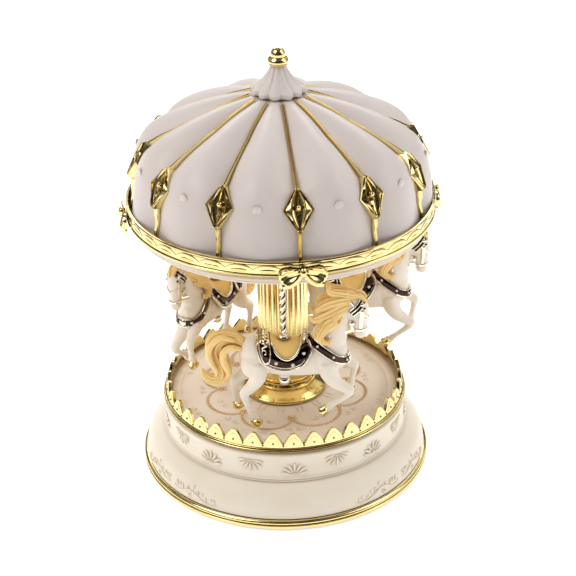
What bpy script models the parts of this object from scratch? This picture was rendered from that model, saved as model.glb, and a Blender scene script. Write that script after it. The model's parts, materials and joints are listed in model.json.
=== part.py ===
"""Wind-up carousel music box: base, movement, column, turning canopy and three horses on poles.

Lengths below are in millimetres and MM turns them into metres. +Z is up, the box rests on
Z = 0 and its front looks along -Y. Azimuths are measured from the front toward +X.
"""
import math

import bmesh
import bpy
from mathutils import Matrix, Vector

MM = 0.001
GAP = 0.3
MERGE = 1e-7

# ---- base -----------------------------------------------------------------------------
BASE_R = 56.0
BASE_SEGMENTS = 40
PLATE_TOP = 1.9
RING_BOTTOM = 2.2
RING_TOP = 3.9
RING_BORE = 52.6
PLATE_BORE = 2.3
DECK_BORE = 2.2
RUBBER_R = 3.4
RUBBER_TOP = 0.6
RUBBER_AT = 45.0
SHELL_BOTTOM = 4.2
DRUM_R = 46.7
DRUM_TOP = 27.6
DRUM_BOTTOM = 17.4
WALL = 2.0
DECK_R = 43.6
DECK_BOTTOM = 26.0
DECK_TOP = 28.3
CROWN_R = 46.0
CROWN_TIP_R = 45.2
CROWN_WALL = 0.9
CROWN_POINTS = 38
CROWN_PHASE = 3.7
CROWN_ARCH = 1.5
CROWN_BASE = 27.9
CROWN_VALLEY = 30.9
CROWN_TIP = 34.9

# ---- column ---------------------------------------------------------------------------
COLUMN_R = 9.1
COLUMN_REED = 0.45
COLUMN_REEDS = 20
COLUMN_BOTTOM = 30.5
REED_BOTTOM = 40.4
REED_TOP = 101.4
COLUMN_TOP = 105.6
COLUMN_BORE = 6.4
FOOT_R = 16.0
FOOT_TOP = 39.2

# ---- movement -------------------------------------------------------------------------
COVER_BOTTOM = 4.2
COVER_TOP = 5.4
COVER_R = 52.0
COVER_BORE = 3.4
COVER_SCREW_R = 48.6
POST_R = 2.5
POST_HOLE_R = 1.3
POST_TOP = 11.4
COVER_SCREW_AZIMUTHS = (60.0, 180.0, 300.0)
BED_BOTTOM = 6.2
BED_TOP = 7.4
BARREL_BOTTOM = 7.8
BARREL_TOP = 13.4
BARREL_R = 10.8
BARREL_TEETH = 32
BARREL_MODULE = 0.75
LAY_TEETH_IN = 8
LAY_TEETH_OUT = 16
DRIVE_TEETH = 16
DRIVE_MODULE = 0.9375
LAY_X = 15.0
CROWN_WHEEL_TEETH = 18
PINION_TEETH = 6
PINION_MODULE = 1.8333
CROWN_WHEEL_R = 16.5
CYLINDER_Z = 14.0
CYLINDER_R = 3.8
CYLINDER_START = 18.4
CYLINDER_END = 35.4
CYLINDER_GEAR_TEETH = 18
FLY_TEETH = 6
FLY_MODULE = 0.6667
FLY_X = -8.0
TOOTH_ADDENDUM = 0.7
TOOTH_DEDENDUM = 1.15
TOOTH_ROOT = 0.26
TOOTH_TIP = 0.1
PIN_ROWS = 5
PINS_PER_ROW = 3
PIN_HEIGHT = 0.45
COMB_TEETH = 18
COMB_HALF = 0.4
COMB_SCREW_X = 14.0
COMB_SCREW_Y = (22.0, 31.8)
SHAFT_R = 1.25

# ---- canopy ---------------------------------------------------------------------------
GORES = 12
RIB_PHASE = 6.5
RIM_R = 56.4
RIM_INNER = 55.4
RIM_BOTTOM = 104.7
RIM_TOP = 111.0
SOFFIT_R = 54.4
SOFFIT_BOTTOM = 102.3
SOFFIT_TOP = 104.2
DOME_WALL = 1.2
CAP_BOTTOM = 150.8
CAP_TOP = 158.3
CAP_R = 9.9
CAP_BORE = 1.5
CAP_FLUTE = 0.35
FINIAL_TOP = 165.9
STEM_R = 1.2
STEM_BOTTOM = 148.2
BALL_R = 3.65
BALL_Z = 161.3
TIP_R = 2.4
TIP_Z = 163.8
DOME_VALLEY = 2.6
KITE_HALF = 4.4
KITE_ROW = 4
CROWN_RING = ((7.4, 149.95), (9.6, 149.75), (9.6, 150.3), (7.4, 150.4))
RIB_HALF = 0.8
RIB_TOP_HALF = 0.6
RIB_RISE = 0.9
KITE_RISE = 1.3
LEDGE_R = 52.2
LEDGE_TOP = 105.4
BOW_R = 57.4
BOW_Z = 107.4
BOW_AZIMUTHS = (7.0, 97.0, 187.0, 277.0)
# outlines of one loop of the bow, its eye and its tail, sideways and up from the knot
BOW_LOOP = (
    (0.6, 1.0), (3.8, 2.7), (6.6, 2.3), (7.9, 0.4), (7.5, -2.4), (5.8, -3.6), (3.4, -2.6), (0.6, -0.8),
)
BOW_EYE = ((2.9, 0.5), (5.0, 1.0), (6.3, 0.0), (6.0, -1.7), (4.4, -1.5))
BOW_TAIL = ((0.4, -0.6), (3.4, -2.2), (7.4, -3.9), (7.2, -5.4), (3.4, -4.6))

# ---- horses ---------------------------------------------------------------------------
POLE_RING_R = 30.0
POLE_R = 1.2
CAM_LOBES = 4
CAM_INNER = 21.6
CAM_OUTER = 25.0
CAM_TOP = 109.7
CAM_WEB = 1.6
FOLLOWER_LOW = 111.35
# name, azimuth of the pole, heading of the nose from +X, height above the lowest rest height
HORSES = (("front", 0.0, 0.0, 0.0), ("right", 120.0, 0.0, 2.2), ("left", 240.0, 240.0, 1.1))
CAM_COS = -1.1
CAM_SIN = 0.635
POLE_BOTTOM = 48.4
POLE_TOP = 116.0
POLE_THIN_R = 1.05
TWIST_BOTTOM = 68.2
TWIST_TOP = 101.0
TWIST_WAIST_R = 0.9
KNOB_BOTTOM = 47.5
KNOB_TOP = 50.2
KNOB_BORE = 1.35
FOLLOWER_R = 2.8
FOLLOWER_HEIGHT = 3.0
ARM_HALF = 0.8
SADDLE_START = -7.5
SADDLE_END = 9.0
SADDLE_CLEAR = 0.6
SADDLE_WALL = 0.8
SADDLE_REACH = 66.0
FLAP_REACH = 44.0
CANTLE_RISE = 2.6
POMMEL_RISE = 1.2
STRAP_X = 9.2
STRAP_REACH = 14.6
STRAP_SIDE = 7.4
STRAP_TOP = 64.2
STRAP_DROP = 4.6
STRAP_HALF = 1.1
STRAP_WALL = 0.6
TUBE_SIDES = 12
SPLINE_STEPS = 3
VOXEL = 0.0005
HORSE_RATIO = 0.0175
BORE_R = 1.45

# Horse stations, in the horse's own axes: nose along +X, the pole at X = 0, left side +Y, heights
# as for the front horse. Trunk, neck and head: x, height, side radius, radius in the middle plane.
TRUNK = (
    (-16.0, 60.8, 1.4, 2.4), (-13.4, 60.9, 4.4, 5.6), (-9.0, 60.4, 5.8, 7.0), (-3.0, 59.1, 5.5, 7.0),
    (4.0, 58.5, 5.5, 7.1), (10.0, 59.0, 5.7, 7.4), (15.0, 59.9, 5.6, 7.6), (18.8, 61.0, 4.9, 6.9),
    (21.4, 61.8, 3.5, 5.0), (22.8, 62.0, 1.6, 2.8),
)
NECK = (
    (14.6, 62.0, 5.0, 7.2), (16.6, 67.6, 4.2, 6.4), (18.6, 73.4, 3.5, 5.1), (20.6, 78.0, 3.0, 4.4),
    (23.4, 80.8, 2.5, 3.6),
)
HEAD = (
    (22.8, 81.0, 2.2, 2.6), (25.0, 80.6, 2.9, 3.5), (26.8, 78.6, 2.9, 3.8), (27.3, 75.2, 2.4, 3.3),
    (27.6, 71.6, 2.0, 2.7), (27.6, 68.4, 2.0, 2.4), (27.5, 66.8, 1.3, 1.5),
)
# x, side offset, height, radius for each leg of the right side (-Y) and left side (+Y)
LEGS = (
    ((15.6, -3.0, 57.5, 3.4), (16.8, -3.8, 52.8, 3.0), (21.0, -4.3, 48.4, 2.2), (23.8, -4.3, 46.4, 1.8),
     (20.0, -4.3, 42.6, 1.25), (16.8, -4.3, 40.0, 1.5), (14.6, -4.3, 38.2, 1.9), (13.6, -4.3, 37.4, 1.9)),
    ((16.0, 3.0, 58.0, 3.0), (21.2, 3.8, 55.4, 2.3), (25.6, 4.0, 52.6, 1.8), (25.3, 4.0, 48.6, 1.25),
     (24.8, 4.0, 45.6, 1.4), (24.6, 4.0, 44.0, 1.7), (24.0, 4.0, 42.2, 2.0)),
    ((-9.5, -3.0, 57.6, 3.2), (-9.6, -3.6, 52.0, 2.9), (-14.4, -4.0, 46.2, 1.9), (-13.6, -4.0, 41.0, 1.3),
     (-12.0, -4.0, 36.6, 1.4), (-11.0, -4.0, 34.5, 1.6), (-10.0, -4.0, 32.4, 2.0)),
    ((-9.5, 3.0, 57.6, 3.2), (-11.4, 3.6, 51.6, 2.9), (-18.2, 4.0, 46.6, 1.9), (-18.2, 4.0, 42.6, 1.3),
     (-17.8, 4.0, 39.2, 1.4), (-17.4, 4.0, 37.6, 1.6), (-17.0, 4.0, 35.6, 2.0)),
)
TAIL = (
    (-12.8, 0.0, 62.6, 1.8), (-16.0, 0.1, 65.6, 2.3), (-19.8, 0.3, 67.2, 2.9), (-23.6, 0.5, 65.8, 3.4),
    (-24.7, 0.6, 61.8, 3.6), (-23.2, 0.3, 57.4, 3.3), (-22.2, 0.0, 53.6, 2.9), (-23.4, -0.2, 50.4, 2.7),
    (-26.6, -0.4, 50.2, 2.2), (-29.2, -0.4, 53.0, 1.2),
)
MANE = (
    ((26.4, 0.0, 83.8, 1.3), (22.6, -0.6, 84.6, 1.9), (18.8, -0.8, 85.2, 1.9), (16.6, -0.8, 87.2, 0.9)),
    ((23.0, 0.0, 82.2, 2.0), (18.4, -0.8, 81.8, 2.5), (14.4, -1.0, 80.2, 2.0), (12.2, -1.0, 78.4, 1.0)),
    ((20.6, 0.0, 78.6, 2.2), (16.0, -0.9, 76.6, 2.6), (12.4, -1.2, 75.4, 2.0), (10.2, -1.2, 76.6, 1.0)),
    ((18.0, 0.0, 73.6, 2.2), (14.6, -1.0, 71.4, 2.4), (12.6, -1.2, 69.4, 1.8), (13.4, -1.2, 67.8, 0.9)),
)
FORELOCK = ((24.6, 0.0, 83.2, 1.4), (27.2, -0.6, 84.2, 1.3), (29.2, -0.8, 82.8, 0.7))
EAR = ((22.6, 1.6, 82.8, 0.9), (22.8, 1.9, 84.8, 0.9), (23.1, 2.0, 86.4, 0.5))

# dome crest from the rim to the cap: radius, height
DOME = ((55.0, 105.9), (55.1, 111.0), (54.8, 116.0), (54.3, 120.5), (53.1, 126.0), (50.9, 131.0),
        (47.6, 135.2), (41.2, 139.4), (32.0, 143.6), (22.0, 146.9), (12.0, 149.0), (8.6, 149.4), (5.0, 149.7))


def clear_scene():
    for item in list(bpy.data.objects):
        bpy.data.objects.remove(item, do_unlink=True)


def material(name, colour, roughness, metallic):
    made = bpy.data.materials.new(name)
    made.use_nodes = True
    shader = made.node_tree.nodes["Principled BSDF"]
    shader.inputs["Base Color"].default_value = (*colour, 1.0)
    shader.inputs["Roughness"].default_value = roughness
    shader.inputs["Metallic"].default_value = metallic
    return made


def looks():
    return {
        "cream": material("cream_plastic", (0.78, 0.70, 0.62), 0.45, 0.0),
        "satin": material("satin_canopy", (0.72, 0.65, 0.62), 0.4, 0.0),
        "gold": material("gold_plate", (0.85, 0.66, 0.30), 0.18, 1.0),
        "silver": material("silver_plate", (0.80, 0.75, 0.66), 0.15, 1.0),
        "horse": material("horse_cream", (0.80, 0.71, 0.58), 0.5, 0.0),
        "steel": material("steel", (0.55, 0.55, 0.56), 0.3, 1.0),
        "brass": material("brass", (0.75, 0.55, 0.25), 0.3, 1.0),
        "zinc": material("zinc_casting", (0.45, 0.45, 0.46), 0.45, 1.0),
        "white": material("white_acetal", (0.85, 0.85, 0.83), 0.5, 0.0),
        "rubber": material("rubber", (0.1, 0.1, 0.1), 0.85, 0.0),
    }


def polar(radius, azimuth, height):
    turn = math.radians(azimuth)
    return Vector((radius * math.sin(turn), -radius * math.cos(turn), height))


def finish(name, bm, look, smooth=True):
    """Turns a closed bmesh drawn in millimetres into a named object in metres."""
    bmesh.ops.recalc_face_normals(bm, faces=bm.faces)
    for face in bm.faces:
        face.smooth = smooth
    bmesh.ops.transform(bm, matrix=Matrix.Scale(MM, 4), verts=bm.verts)
    mesh = bpy.data.meshes.new(name)
    bm.to_mesh(mesh)
    bm.free()
    if look is not None:
        mesh.materials.append(look)
    made = bpy.data.objects.new(name, mesh)
    bpy.context.scene.collection.objects.link(made)
    return made


def add_revolved(bm, profile, segments, centre=(0.0, 0.0), phase=0.0):
    """Spins a closed outline of (radius, height) pairs about the vertical through centre."""
    rings = []
    for step in range(segments):
        turn = math.radians(phase) + 2.0 * math.pi * step / segments
        ring = []
        for radius, height in profile:
            point = (centre[0] + radius * math.sin(turn), centre[1] - radius * math.cos(turn), height)
            ring.append(bm.verts.new(point))
        rings.append(ring)
    count = len(profile)
    for step in range(segments):
        here = rings[step]
        there = rings[(step + 1) % segments]
        for i in range(count):
            j = (i + 1) % count
            bm.faces.new((here[i], here[j], there[j], there[i]))


def revolved(name, profile, segments, look, smooth=True):
    bm = bmesh.new()
    add_revolved(bm, profile, segments)
    return finish(name, bm, look, smooth)


def add_prism(bm, outline, low, high):
    """Stands an outline of (x, y) pairs up between two heights."""
    below = [bm.verts.new((x, y, low)) for x, y in outline]
    above = [bm.verts.new((x, y, high)) for x, y in outline]
    bm.faces.new(below)
    bm.faces.new(above)
    count = len(outline)
    for i in range(count):
        j = (i + 1) % count
        bm.faces.new((below[i], below[j], above[j], above[i]))


def add_rod(bm, start, end, radius, sides, twist=0.0):
    """A straight round bar between two points."""
    start = Vector(start)
    end = Vector(end)
    along = (end - start).normalized()
    side = along.orthogonal().normalized()
    other = along.cross(side)
    loops = []
    for point in (start, end):
        loop = []
        for step in range(sides):
            turn = twist + 2.0 * math.pi * step / sides
            offset = side * math.cos(turn) + other * math.sin(turn)
            loop.append(bm.verts.new(point + offset * radius))
        loops.append(loop)
    bm.faces.new(loops[0])
    bm.faces.new(loops[1])
    for i in range(sides):
        j = (i + 1) % sides
        bm.faces.new((loops[0][i], loops[0][j], loops[1][j], loops[1][i]))


def add_box(bm, low, high):
    outline = ((low[0], low[1]), (high[0], low[1]), (high[0], high[1]), (low[0], high[1]))
    add_prism(bm, outline, low[2], high[2])


def combine(target, tools, operation):
    """Adds or cuts solids with exact Booleans; the tools stay as hidden wire guides."""
    for tool in tools:
        tool.hide_render = True
        tool.display_type = "WIRE"
        step = target.modifiers.new(operation.lower(), "BOOLEAN")
        step.operation = operation
        step.solver = "EXACT"
        step.object = tool
    return target


def bake(target):
    """Fixes a stack of modifiers into the mesh and drops its guides."""
    tools = [step.object for step in target.modifiers if step.type == "BOOLEAN"]
    graph = bpy.context.evaluated_depsgraph_get()
    mesh = bpy.data.meshes.new_from_object(target.evaluated_get(graph))
    target.modifiers.clear()
    target.data = mesh
    for tool in tools:
        bpy.data.objects.remove(tool, do_unlink=True)
    tidy = bmesh.new()
    tidy.from_mesh(mesh)
    bmesh.ops.remove_doubles(tidy, verts=tidy.verts, dist=MERGE)
    tidy.to_mesh(mesh)
    tidy.free()
    return target


def rod_tool(name, start, end, radius, sides):
    bm = bmesh.new()
    add_rod(bm, start, end, radius, sides)
    return finish(name, bm, None, False)


def box_tool(name, low, high):
    bm = bmesh.new()
    add_box(bm, low, high)
    return finish(name, bm, None, False)


def tooth_corners(root_r, tip_r):
    """Corners of one tooth as radius and share of the tooth pitch from its middle."""
    return (
        (root_r, -TOOTH_ROOT),
        (tip_r, -TOOTH_TIP),
        (tip_r, TOOTH_TIP),
        (root_r, TOOTH_ROOT),
    )


def gear_outline(teeth, module, phase_deg):
    """A simple trapezoid tooth form thinned for backlash; the first tooth points at phase_deg."""
    pitch_r = 0.5 * teeth * module
    tip_r = pitch_r + TOOTH_ADDENDUM * module
    root_r = pitch_r - TOOTH_DEDENDUM * module
    pitch = 2.0 * math.pi / teeth
    outline = []
    for tooth in range(teeth):
        middle = math.radians(phase_deg) + tooth * pitch
        for radius, share in tooth_corners(root_r, tip_r):
            turn = middle + share * pitch
            outline.append((radius * math.cos(turn), radius * math.sin(turn)))
    return outline


# ---- base -----------------------------------------------------------------------------
def base_shell(look):
    outer = (
        (54.6, SHELL_BOTTOM), (54.3, 7.6), (52.7, 11.2), (49.9, 14.2),
        (47.6, 15.6), (47.8, 16.6), (DRUM_R, DRUM_BOTTOM), (DRUM_R, 26.4), (45.6, DRUM_TOP),
    )
    inner = (
        (DECK_R + GAP, DRUM_TOP), (DECK_R + GAP, DECK_BOTTOM - GAP), (41.0, DECK_BOTTOM - GAP),
        (DRUM_R - WALL, 22.4), (DRUM_R - WALL, 15.6), (52.2, 8.0), (52.4, SHELL_BOTTOM),
    )
    body = revolved("base_shell", outer + inner, BASE_SEGMENTS, look)
    posts = []
    holes = []
    for number, azimuth in enumerate(COVER_SCREW_AZIMUTHS):
        low = COVER_TOP + GAP
        foot = polar(COVER_SCREW_R, azimuth, low)
        head = polar(COVER_SCREW_R, azimuth, POST_TOP)
        posts.append(rod_tool(f"post_{number}", foot, head, POST_R, 10))
        foot = polar(COVER_SCREW_R, azimuth, low - 1.0)
        head = polar(COVER_SCREW_R, azimuth, POST_TOP - 2.0)
        holes.append(rod_tool(f"post_hole_{number}", foot, head, POST_HOLE_R, 8))
    combine(body, posts, "UNION")
    combine(body, holes, "DIFFERENCE")
    bake(body)
    for face in body.data.polygons:
        face.use_smooth = True
    return body


def foot_ring(look):
    profile = (
        (RING_BORE, RING_BOTTOM), (BASE_R - 0.2, RING_BOTTOM), (BASE_R, 3.1), (BASE_R - 0.6, RING_TOP),
        (RING_BORE, RING_TOP),
    )
    return revolved("foot_ring", profile, BASE_SEGMENTS, look)


def deck_plate(look):
    profile = (
        (DECK_BORE, DECK_BOTTOM), (DECK_R, DECK_BOTTOM), (DECK_R, DECK_TOP), (DECK_BORE, DECK_TOP),
    )
    return revolved("deck_plate", profile, BASE_SEGMENTS, look)


def crown_edging(look):
    """Upright gold fence of pointed arches standing on the rim of the drum."""
    steps_per_point = 2
    total = CROWN_POINTS * steps_per_point
    bm = bmesh.new()
    loops = []
    for step in range(total):
        azimuth = CROWN_PHASE + 360.0 * step / total
        across = (step % steps_per_point) / steps_per_point
        reach = abs(2.0 * across - 1.0) ** CROWN_ARCH
        top = CROWN_VALLEY + (CROWN_TIP - CROWN_VALLEY) * reach
        lean = CROWN_R - (CROWN_R - CROWN_TIP_R) * reach
        loops.append([
            bm.verts.new(polar(CROWN_R + 0.3, azimuth, CROWN_BASE)),
            bm.verts.new(polar(lean, azimuth, top)),
            bm.verts.new(polar(lean - CROWN_WALL, azimuth, top)),
            bm.verts.new(polar(CROWN_R - CROWN_WALL, azimuth, CROWN_BASE)),
        ])
    for step in range(total):
        here = loops[step]
        there = loops[(step + 1) % total]
        for i in range(len(here)):
            j = (i + 1) % len(here)
            bm.faces.new((here[i], here[j], there[j], there[i]))
    return finish("crown_edging", bm, look)


def bottom_cover(look):
    """Fixed floor of the base; three bosses carry the movement."""
    bm = bmesh.new()
    profile = (
        (COVER_BORE, COVER_BOTTOM), (COVER_R, COVER_BOTTOM), (COVER_R, COVER_TOP), (COVER_BORE, COVER_TOP),
    )
    add_revolved(bm, profile, BASE_SEGMENTS)
    body = finish("bottom_cover", bm, look, False)
    tools = []
    for number, azimuth in enumerate(COVER_SCREW_AZIMUTHS):
        low = polar(COVER_SCREW_R, azimuth, COVER_BOTTOM - 1.0)
        high = polar(COVER_SCREW_R, azimuth, COVER_TOP + 1.0)
        tools.append(rod_tool(f"cover_hole_{number}", low, high, POST_HOLE_R, 12))
    combine(body, tools, "DIFFERENCE")
    return bake(body)


def circle(x, y, radius, sides):
    """Corners of a level circle as (x, y) pairs."""
    turns = [2.0 * math.pi * i / sides for i in range(sides)]
    return [(x + radius * math.cos(turn), y + radius * math.sin(turn)) for turn in turns]


def screw(name, x, y, head_low, head_top, head_r, shank_end, shank_r, look, sides=12):
    """Slotless pan-head screw, head between two heights and shank running to shank_end."""
    shank_down = shank_end < head_low
    shank_start = head_low if shank_down else head_top
    far = head_top if shank_down else head_low
    bm = bmesh.new()
    outline = circle(x, y, head_r, sides)
    inner = circle(x, y, shank_r, sides)
    loops = [
        [bm.verts.new((px, py, far)) for px, py in outline],
        [bm.verts.new((px, py, shank_start)) for px, py in outline],
        [bm.verts.new((px, py, shank_start)) for px, py in inner],
        [bm.verts.new((px, py, shank_end)) for px, py in inner],
    ]
    bm.faces.new(loops[0])
    bm.faces.new(loops[3])
    for level in range(3):
        for i in range(sides):
            j = (i + 1) % sides
            bm.faces.new((loops[level][i], loops[level][j], loops[level + 1][j], loops[level + 1][i]))
    return finish(name, bm, look, False)


def winding_plate(look):
    profile = (
        (PLATE_BORE, 0.9), (51.0, 0.9), (52.0, 0.4), (BASE_R - 0.4, 0.4), (BASE_R, 1.2),
        (BASE_R - 0.2, PLATE_TOP), (PLATE_BORE, PLATE_TOP),
    )
    return revolved("winding_plate", profile, BASE_SEGMENTS, look)


def rubber_foot(name, azimuth, look):
    bm = bmesh.new()
    add_rod(bm, polar(RUBBER_AT, azimuth, 0.0), polar(RUBBER_AT, azimuth, RUBBER_TOP), RUBBER_R, 16)
    return finish(name, bm, look, False)


# ---- column ---------------------------------------------------------------------------
def column_foot(look):
    profile = (
        (COLUMN_BORE + GAP, DECK_TOP + GAP), (FOOT_R, DECK_TOP + GAP), (15.4, 31.8),
        (13.7, 32.6), (13.2, 35.0), (11.6, 35.8), (10.4, FOOT_TOP),
        (COLUMN_R + COLUMN_REED + GAP, FOOT_TOP), (COLUMN_R + COLUMN_REED + GAP, COLUMN_BOTTOM - GAP),
        (COLUMN_BORE + GAP, COLUMN_BOTTOM - GAP),
    )
    return revolved("column_foot", profile, 32, look)


def column(look):
    """Reeded tube from the foot to the cam ring; the drive shaft runs inside it."""
    samples = COLUMN_REEDS * 2
    levels = (COLUMN_BOTTOM, REED_BOTTOM, REED_TOP, COLUMN_TOP)
    bm = bmesh.new()
    rings = []
    for step in range(samples):
        azimuth = 360.0 * step / samples
        reed = COLUMN_R + (COLUMN_REED if step % 2 == 0 else 0.0)
        ring = [bm.verts.new(polar(COLUMN_R, azimuth, levels[0]))]
        ring.append(bm.verts.new(polar(reed, azimuth, levels[1])))
        ring.append(bm.verts.new(polar(reed, azimuth, levels[2])))
        ring.append(bm.verts.new(polar(COLUMN_R, azimuth, levels[3])))
        ring.append(bm.verts.new(polar(COLUMN_BORE, azimuth, levels[3])))
        ring.append(bm.verts.new(polar(COLUMN_BORE, azimuth, levels[0])))
        rings.append(ring)
    for step in range(samples):
        here = rings[step]
        there = rings[(step + 1) % samples]
        for i in range(len(here)):
            j = (i + 1) % len(here)
            bm.faces.new((here[i], here[j], there[j], there[i]))
    return finish("column", bm, look)


def bush(name, low, high, outer, look):
    profile = ((SHAFT_R + GAP, low), (outer, low), (outer, high), (SHAFT_R + GAP, high))
    return revolved(name, profile, 16, look)


def cam_lift(azimuth):
    """Height of the cam track above its mean; four equal lobes per turn."""
    turn = math.radians(azimuth) * CAM_LOBES
    return CAM_COS * math.cos(turn) + CAM_SIN * math.sin(turn)


def cam_ring(look):
    """Fixed ring on the column whose wavy wall lifts the pole followers."""
    samples = 32
    bore = SHAFT_R + 0.7
    floor = COLUMN_TOP + GAP
    web = floor + CAM_WEB
    bm = bmesh.new()
    rings = []
    for step in range(samples):
        azimuth = 360.0 * step / samples
        top = CAM_TOP + cam_lift(azimuth)
        points = (
            (bore, floor), (CAM_OUTER, floor), (CAM_OUTER, top),
            (CAM_INNER, top), (CAM_INNER, web), (bore, web),
        )
        rings.append([bm.verts.new(polar(radius, azimuth, height)) for radius, height in points])
    for step in range(samples):
        here = rings[step]
        there = rings[(step + 1) % samples]
        for i in range(len(here)):
            j = (i + 1) % len(here)
            bm.faces.new((here[i], here[j], there[j], there[i]))
    return finish("cam_ring", bm, look)


# ---- movement -------------------------------------------------------------------------
def movement_bedplate(look):
    """Cast plate under the barrel, comb and cylinder."""
    outline = []
    for step in range(19):
        turn = math.radians(180.0 + 180.0 * step / 18)
        outline.append((4.0 + 18.0 * math.cos(turn), 18.0 * math.sin(turn)))
    outline += [(22.0, 12.0), (18.0, 16.0), (18.0, 41.0), (-12.0, 41.0), (-14.0, 16.0)]
    bm = bmesh.new()
    add_prism(bm, outline, BED_BOTTOM, BED_TOP)
    body = finish("movement_bedplate", bm, look, False)
    tools = [
        rod_tool("arbor_hole", (0.0, 0.0, BED_BOTTOM - 1.0), (0.0, 0.0, BED_TOP + 1.0), 2.5, 16),
        rod_tool("lay_hole", (LAY_X, 0.0, BED_BOTTOM - 1.0), (LAY_X, 0.0, BED_TOP + 1.0), 1.1, 12),
        box_tool("pinion_window", (-4.4, 14.6, BED_BOTTOM - 1.0), (4.4, 18.3, BED_TOP + 1.0)),
    ]
    combine(body, tools, "DIFFERENCE")
    return bake(body)


def comb(look):
    """Steel comb: a heel block and tuned teeth whose tips stop just short of the pins."""
    tip = CYLINDER_R + PIN_HEIGHT + 0.35
    heel = 11.0
    back = 16.4
    low = CYLINDER_Z - COMB_HALF
    start = CYLINDER_START + 0.4
    pitch = (CYLINDER_END - 0.4 - start) / COMB_TEETH
    outline = [(back, start), (back, start + pitch * COMB_TEETH)]
    for tooth in reversed(range(COMB_TEETH)):
        near = start + tooth * pitch
        outline.append((heel, near + pitch * 0.8))
        outline.append((tip, near + pitch * 0.7))
        outline.append((tip, near + pitch * 0.3))
        outline.append((heel, near + pitch * 0.2))
    bm = bmesh.new()
    add_prism(bm, outline, low, low + 2.0 * COMB_HALF)
    return bored("comb", bm, look)


def bored(name, bm, look):
    """Drills the two comb screw holes through a piece."""
    body = finish(name, bm, look, False)
    tools = []
    for number, y in enumerate(COMB_SCREW_Y):
        low = (COMB_SCREW_X, y, BED_TOP)
        high = (COMB_SCREW_X, y, CYLINDER_Z + 2.0)
        tools.append(rod_tool(f"{name}_hole_{number}", low, high, 1.1, 10))
    combine(body, tools, "DIFFERENCE")
    return bake(body)


def comb_base(look):
    """Heel block between bedplate and comb, drilled for its two screws."""
    bm = bmesh.new()
    low = (11.6, CYLINDER_START + 0.4, BED_TOP + GAP)
    high = (16.4, CYLINDER_END - 0.4, CYLINDER_Z - COMB_HALF - GAP)
    add_box(bm, low, high)
    return bored("comb_base", bm, look)


def bearing_bracket(name, y, x_left, x_right, holes, look):
    """Upright plate on the bedplate with plain bearings for horizontal arbors."""
    bm = bmesh.new()
    add_box(bm, (x_left, y, BED_TOP + GAP), (x_right, y + 1.2, CYLINDER_Z + 2.6))
    body = finish(name, bm, look, False)
    tools = []
    for number, (x, radius) in enumerate(holes):
        low = (x, y - 1.0, CYLINDER_Z)
        high = (x, y + 2.2, CYLINDER_Z)
        tools.append(rod_tool(f"{name}_hole_{number}", low, high, radius, 12))
    combine(body, tools, "DIFFERENCE")
    return bake(body)


def add_gear_y(bm, teeth, module, phase_deg, x, z, y_low, y_high):
    """Gear whose arbor lies along Y."""
    outline = gear_outline(teeth, module, phase_deg)
    near = [bm.verts.new((x + u, y_low, z + v)) for u, v in outline]
    far = [bm.verts.new((x + u, y_high, z + v)) for u, v in outline]
    bm.faces.new(near)
    bm.faces.new(far)
    for i in range(len(outline)):
        j = (i + 1) % len(outline)
        bm.faces.new((near[i], near[j], far[j], far[i]))


def music_cylinder(look):
    """Pinned cylinder with its pinion and governor gear on one arbor."""
    bm = bmesh.new()
    add_rod(bm, (0.0, CYLINDER_START, CYLINDER_Z), (0.0, CYLINDER_END, CYLINDER_Z), CYLINDER_R, 20)
    body = finish("music_cylinder", bm, look, False)
    arbor = rod_tool("arbor_tool", (0.0, 13.0, CYLINDER_Z), (0.0, 40.0, CYLINDER_Z), 0.9, 10)
    pinion_bm = bmesh.new()
    half_pitch = 180.0 / PINION_TEETH
    add_gear_y(pinion_bm, PINION_TEETH, PINION_MODULE, 90.0 + half_pitch, 0.0, CYLINDER_Z, 15.5, 17.5)
    pinion = finish("pinion_tool", pinion_bm, None, False)
    gear_bm = bmesh.new()
    add_gear_y(gear_bm, CYLINDER_GEAR_TEETH, FLY_MODULE, 180.0, 0.0, CYLINDER_Z, 36.2, 37.6)
    gear = finish("gear_tool", gear_bm, None, False)
    tools = [arbor, pinion, gear]
    for row in range(PIN_ROWS):
        for step in range(PINS_PER_ROW):
            turn = 2.0 * math.pi * (step / PINS_PER_ROW + (row * 5 % PIN_ROWS) / 24.0 + 0.06)
            y = CYLINDER_START + 1.4 + row * (CYLINDER_END - CYLINDER_START - 2.8) / (PIN_ROWS - 1)
            out = Vector((math.cos(turn), 0.0, math.sin(turn)))
            start = Vector((0.0, y, CYLINDER_Z)) + out * (CYLINDER_R - 0.7)
            end = Vector((0.0, y, CYLINDER_Z)) + out * (CYLINDER_R + PIN_HEIGHT)
            tools.append(rod_tool(f"pin_tool_{row}_{step}", start, end, 0.22, 4))
    combine(body, tools, "UNION")
    return bake(body)


def governor_fly(look):
    """Air brake: pinion and two-bladed fan that hold the tempo."""
    bm = bmesh.new()
    add_rod(bm, (FLY_X, 19.8, CYLINDER_Z), (FLY_X, 40.0, CYLINDER_Z), 0.8, 10)
    body = finish("governor_fly", bm, look, False)
    pinion_bm = bmesh.new()
    add_gear_y(pinion_bm, FLY_TEETH, FLY_MODULE, 180.0 / FLY_TEETH, FLY_X, CYLINDER_Z, 36.2, 37.6)
    blade = bmesh.new()
    add_box(blade, (FLY_X - 0.3, 22.6, CYLINDER_Z - 2.9), (FLY_X + 0.3, 34.0, CYLINDER_Z + 2.9))
    tools = [finish("fly_pinion_tool", pinion_bm, None, False), finish("blade_tool", blade, None, False)]
    combine(body, tools, "UNION")
    return bake(body)


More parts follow.
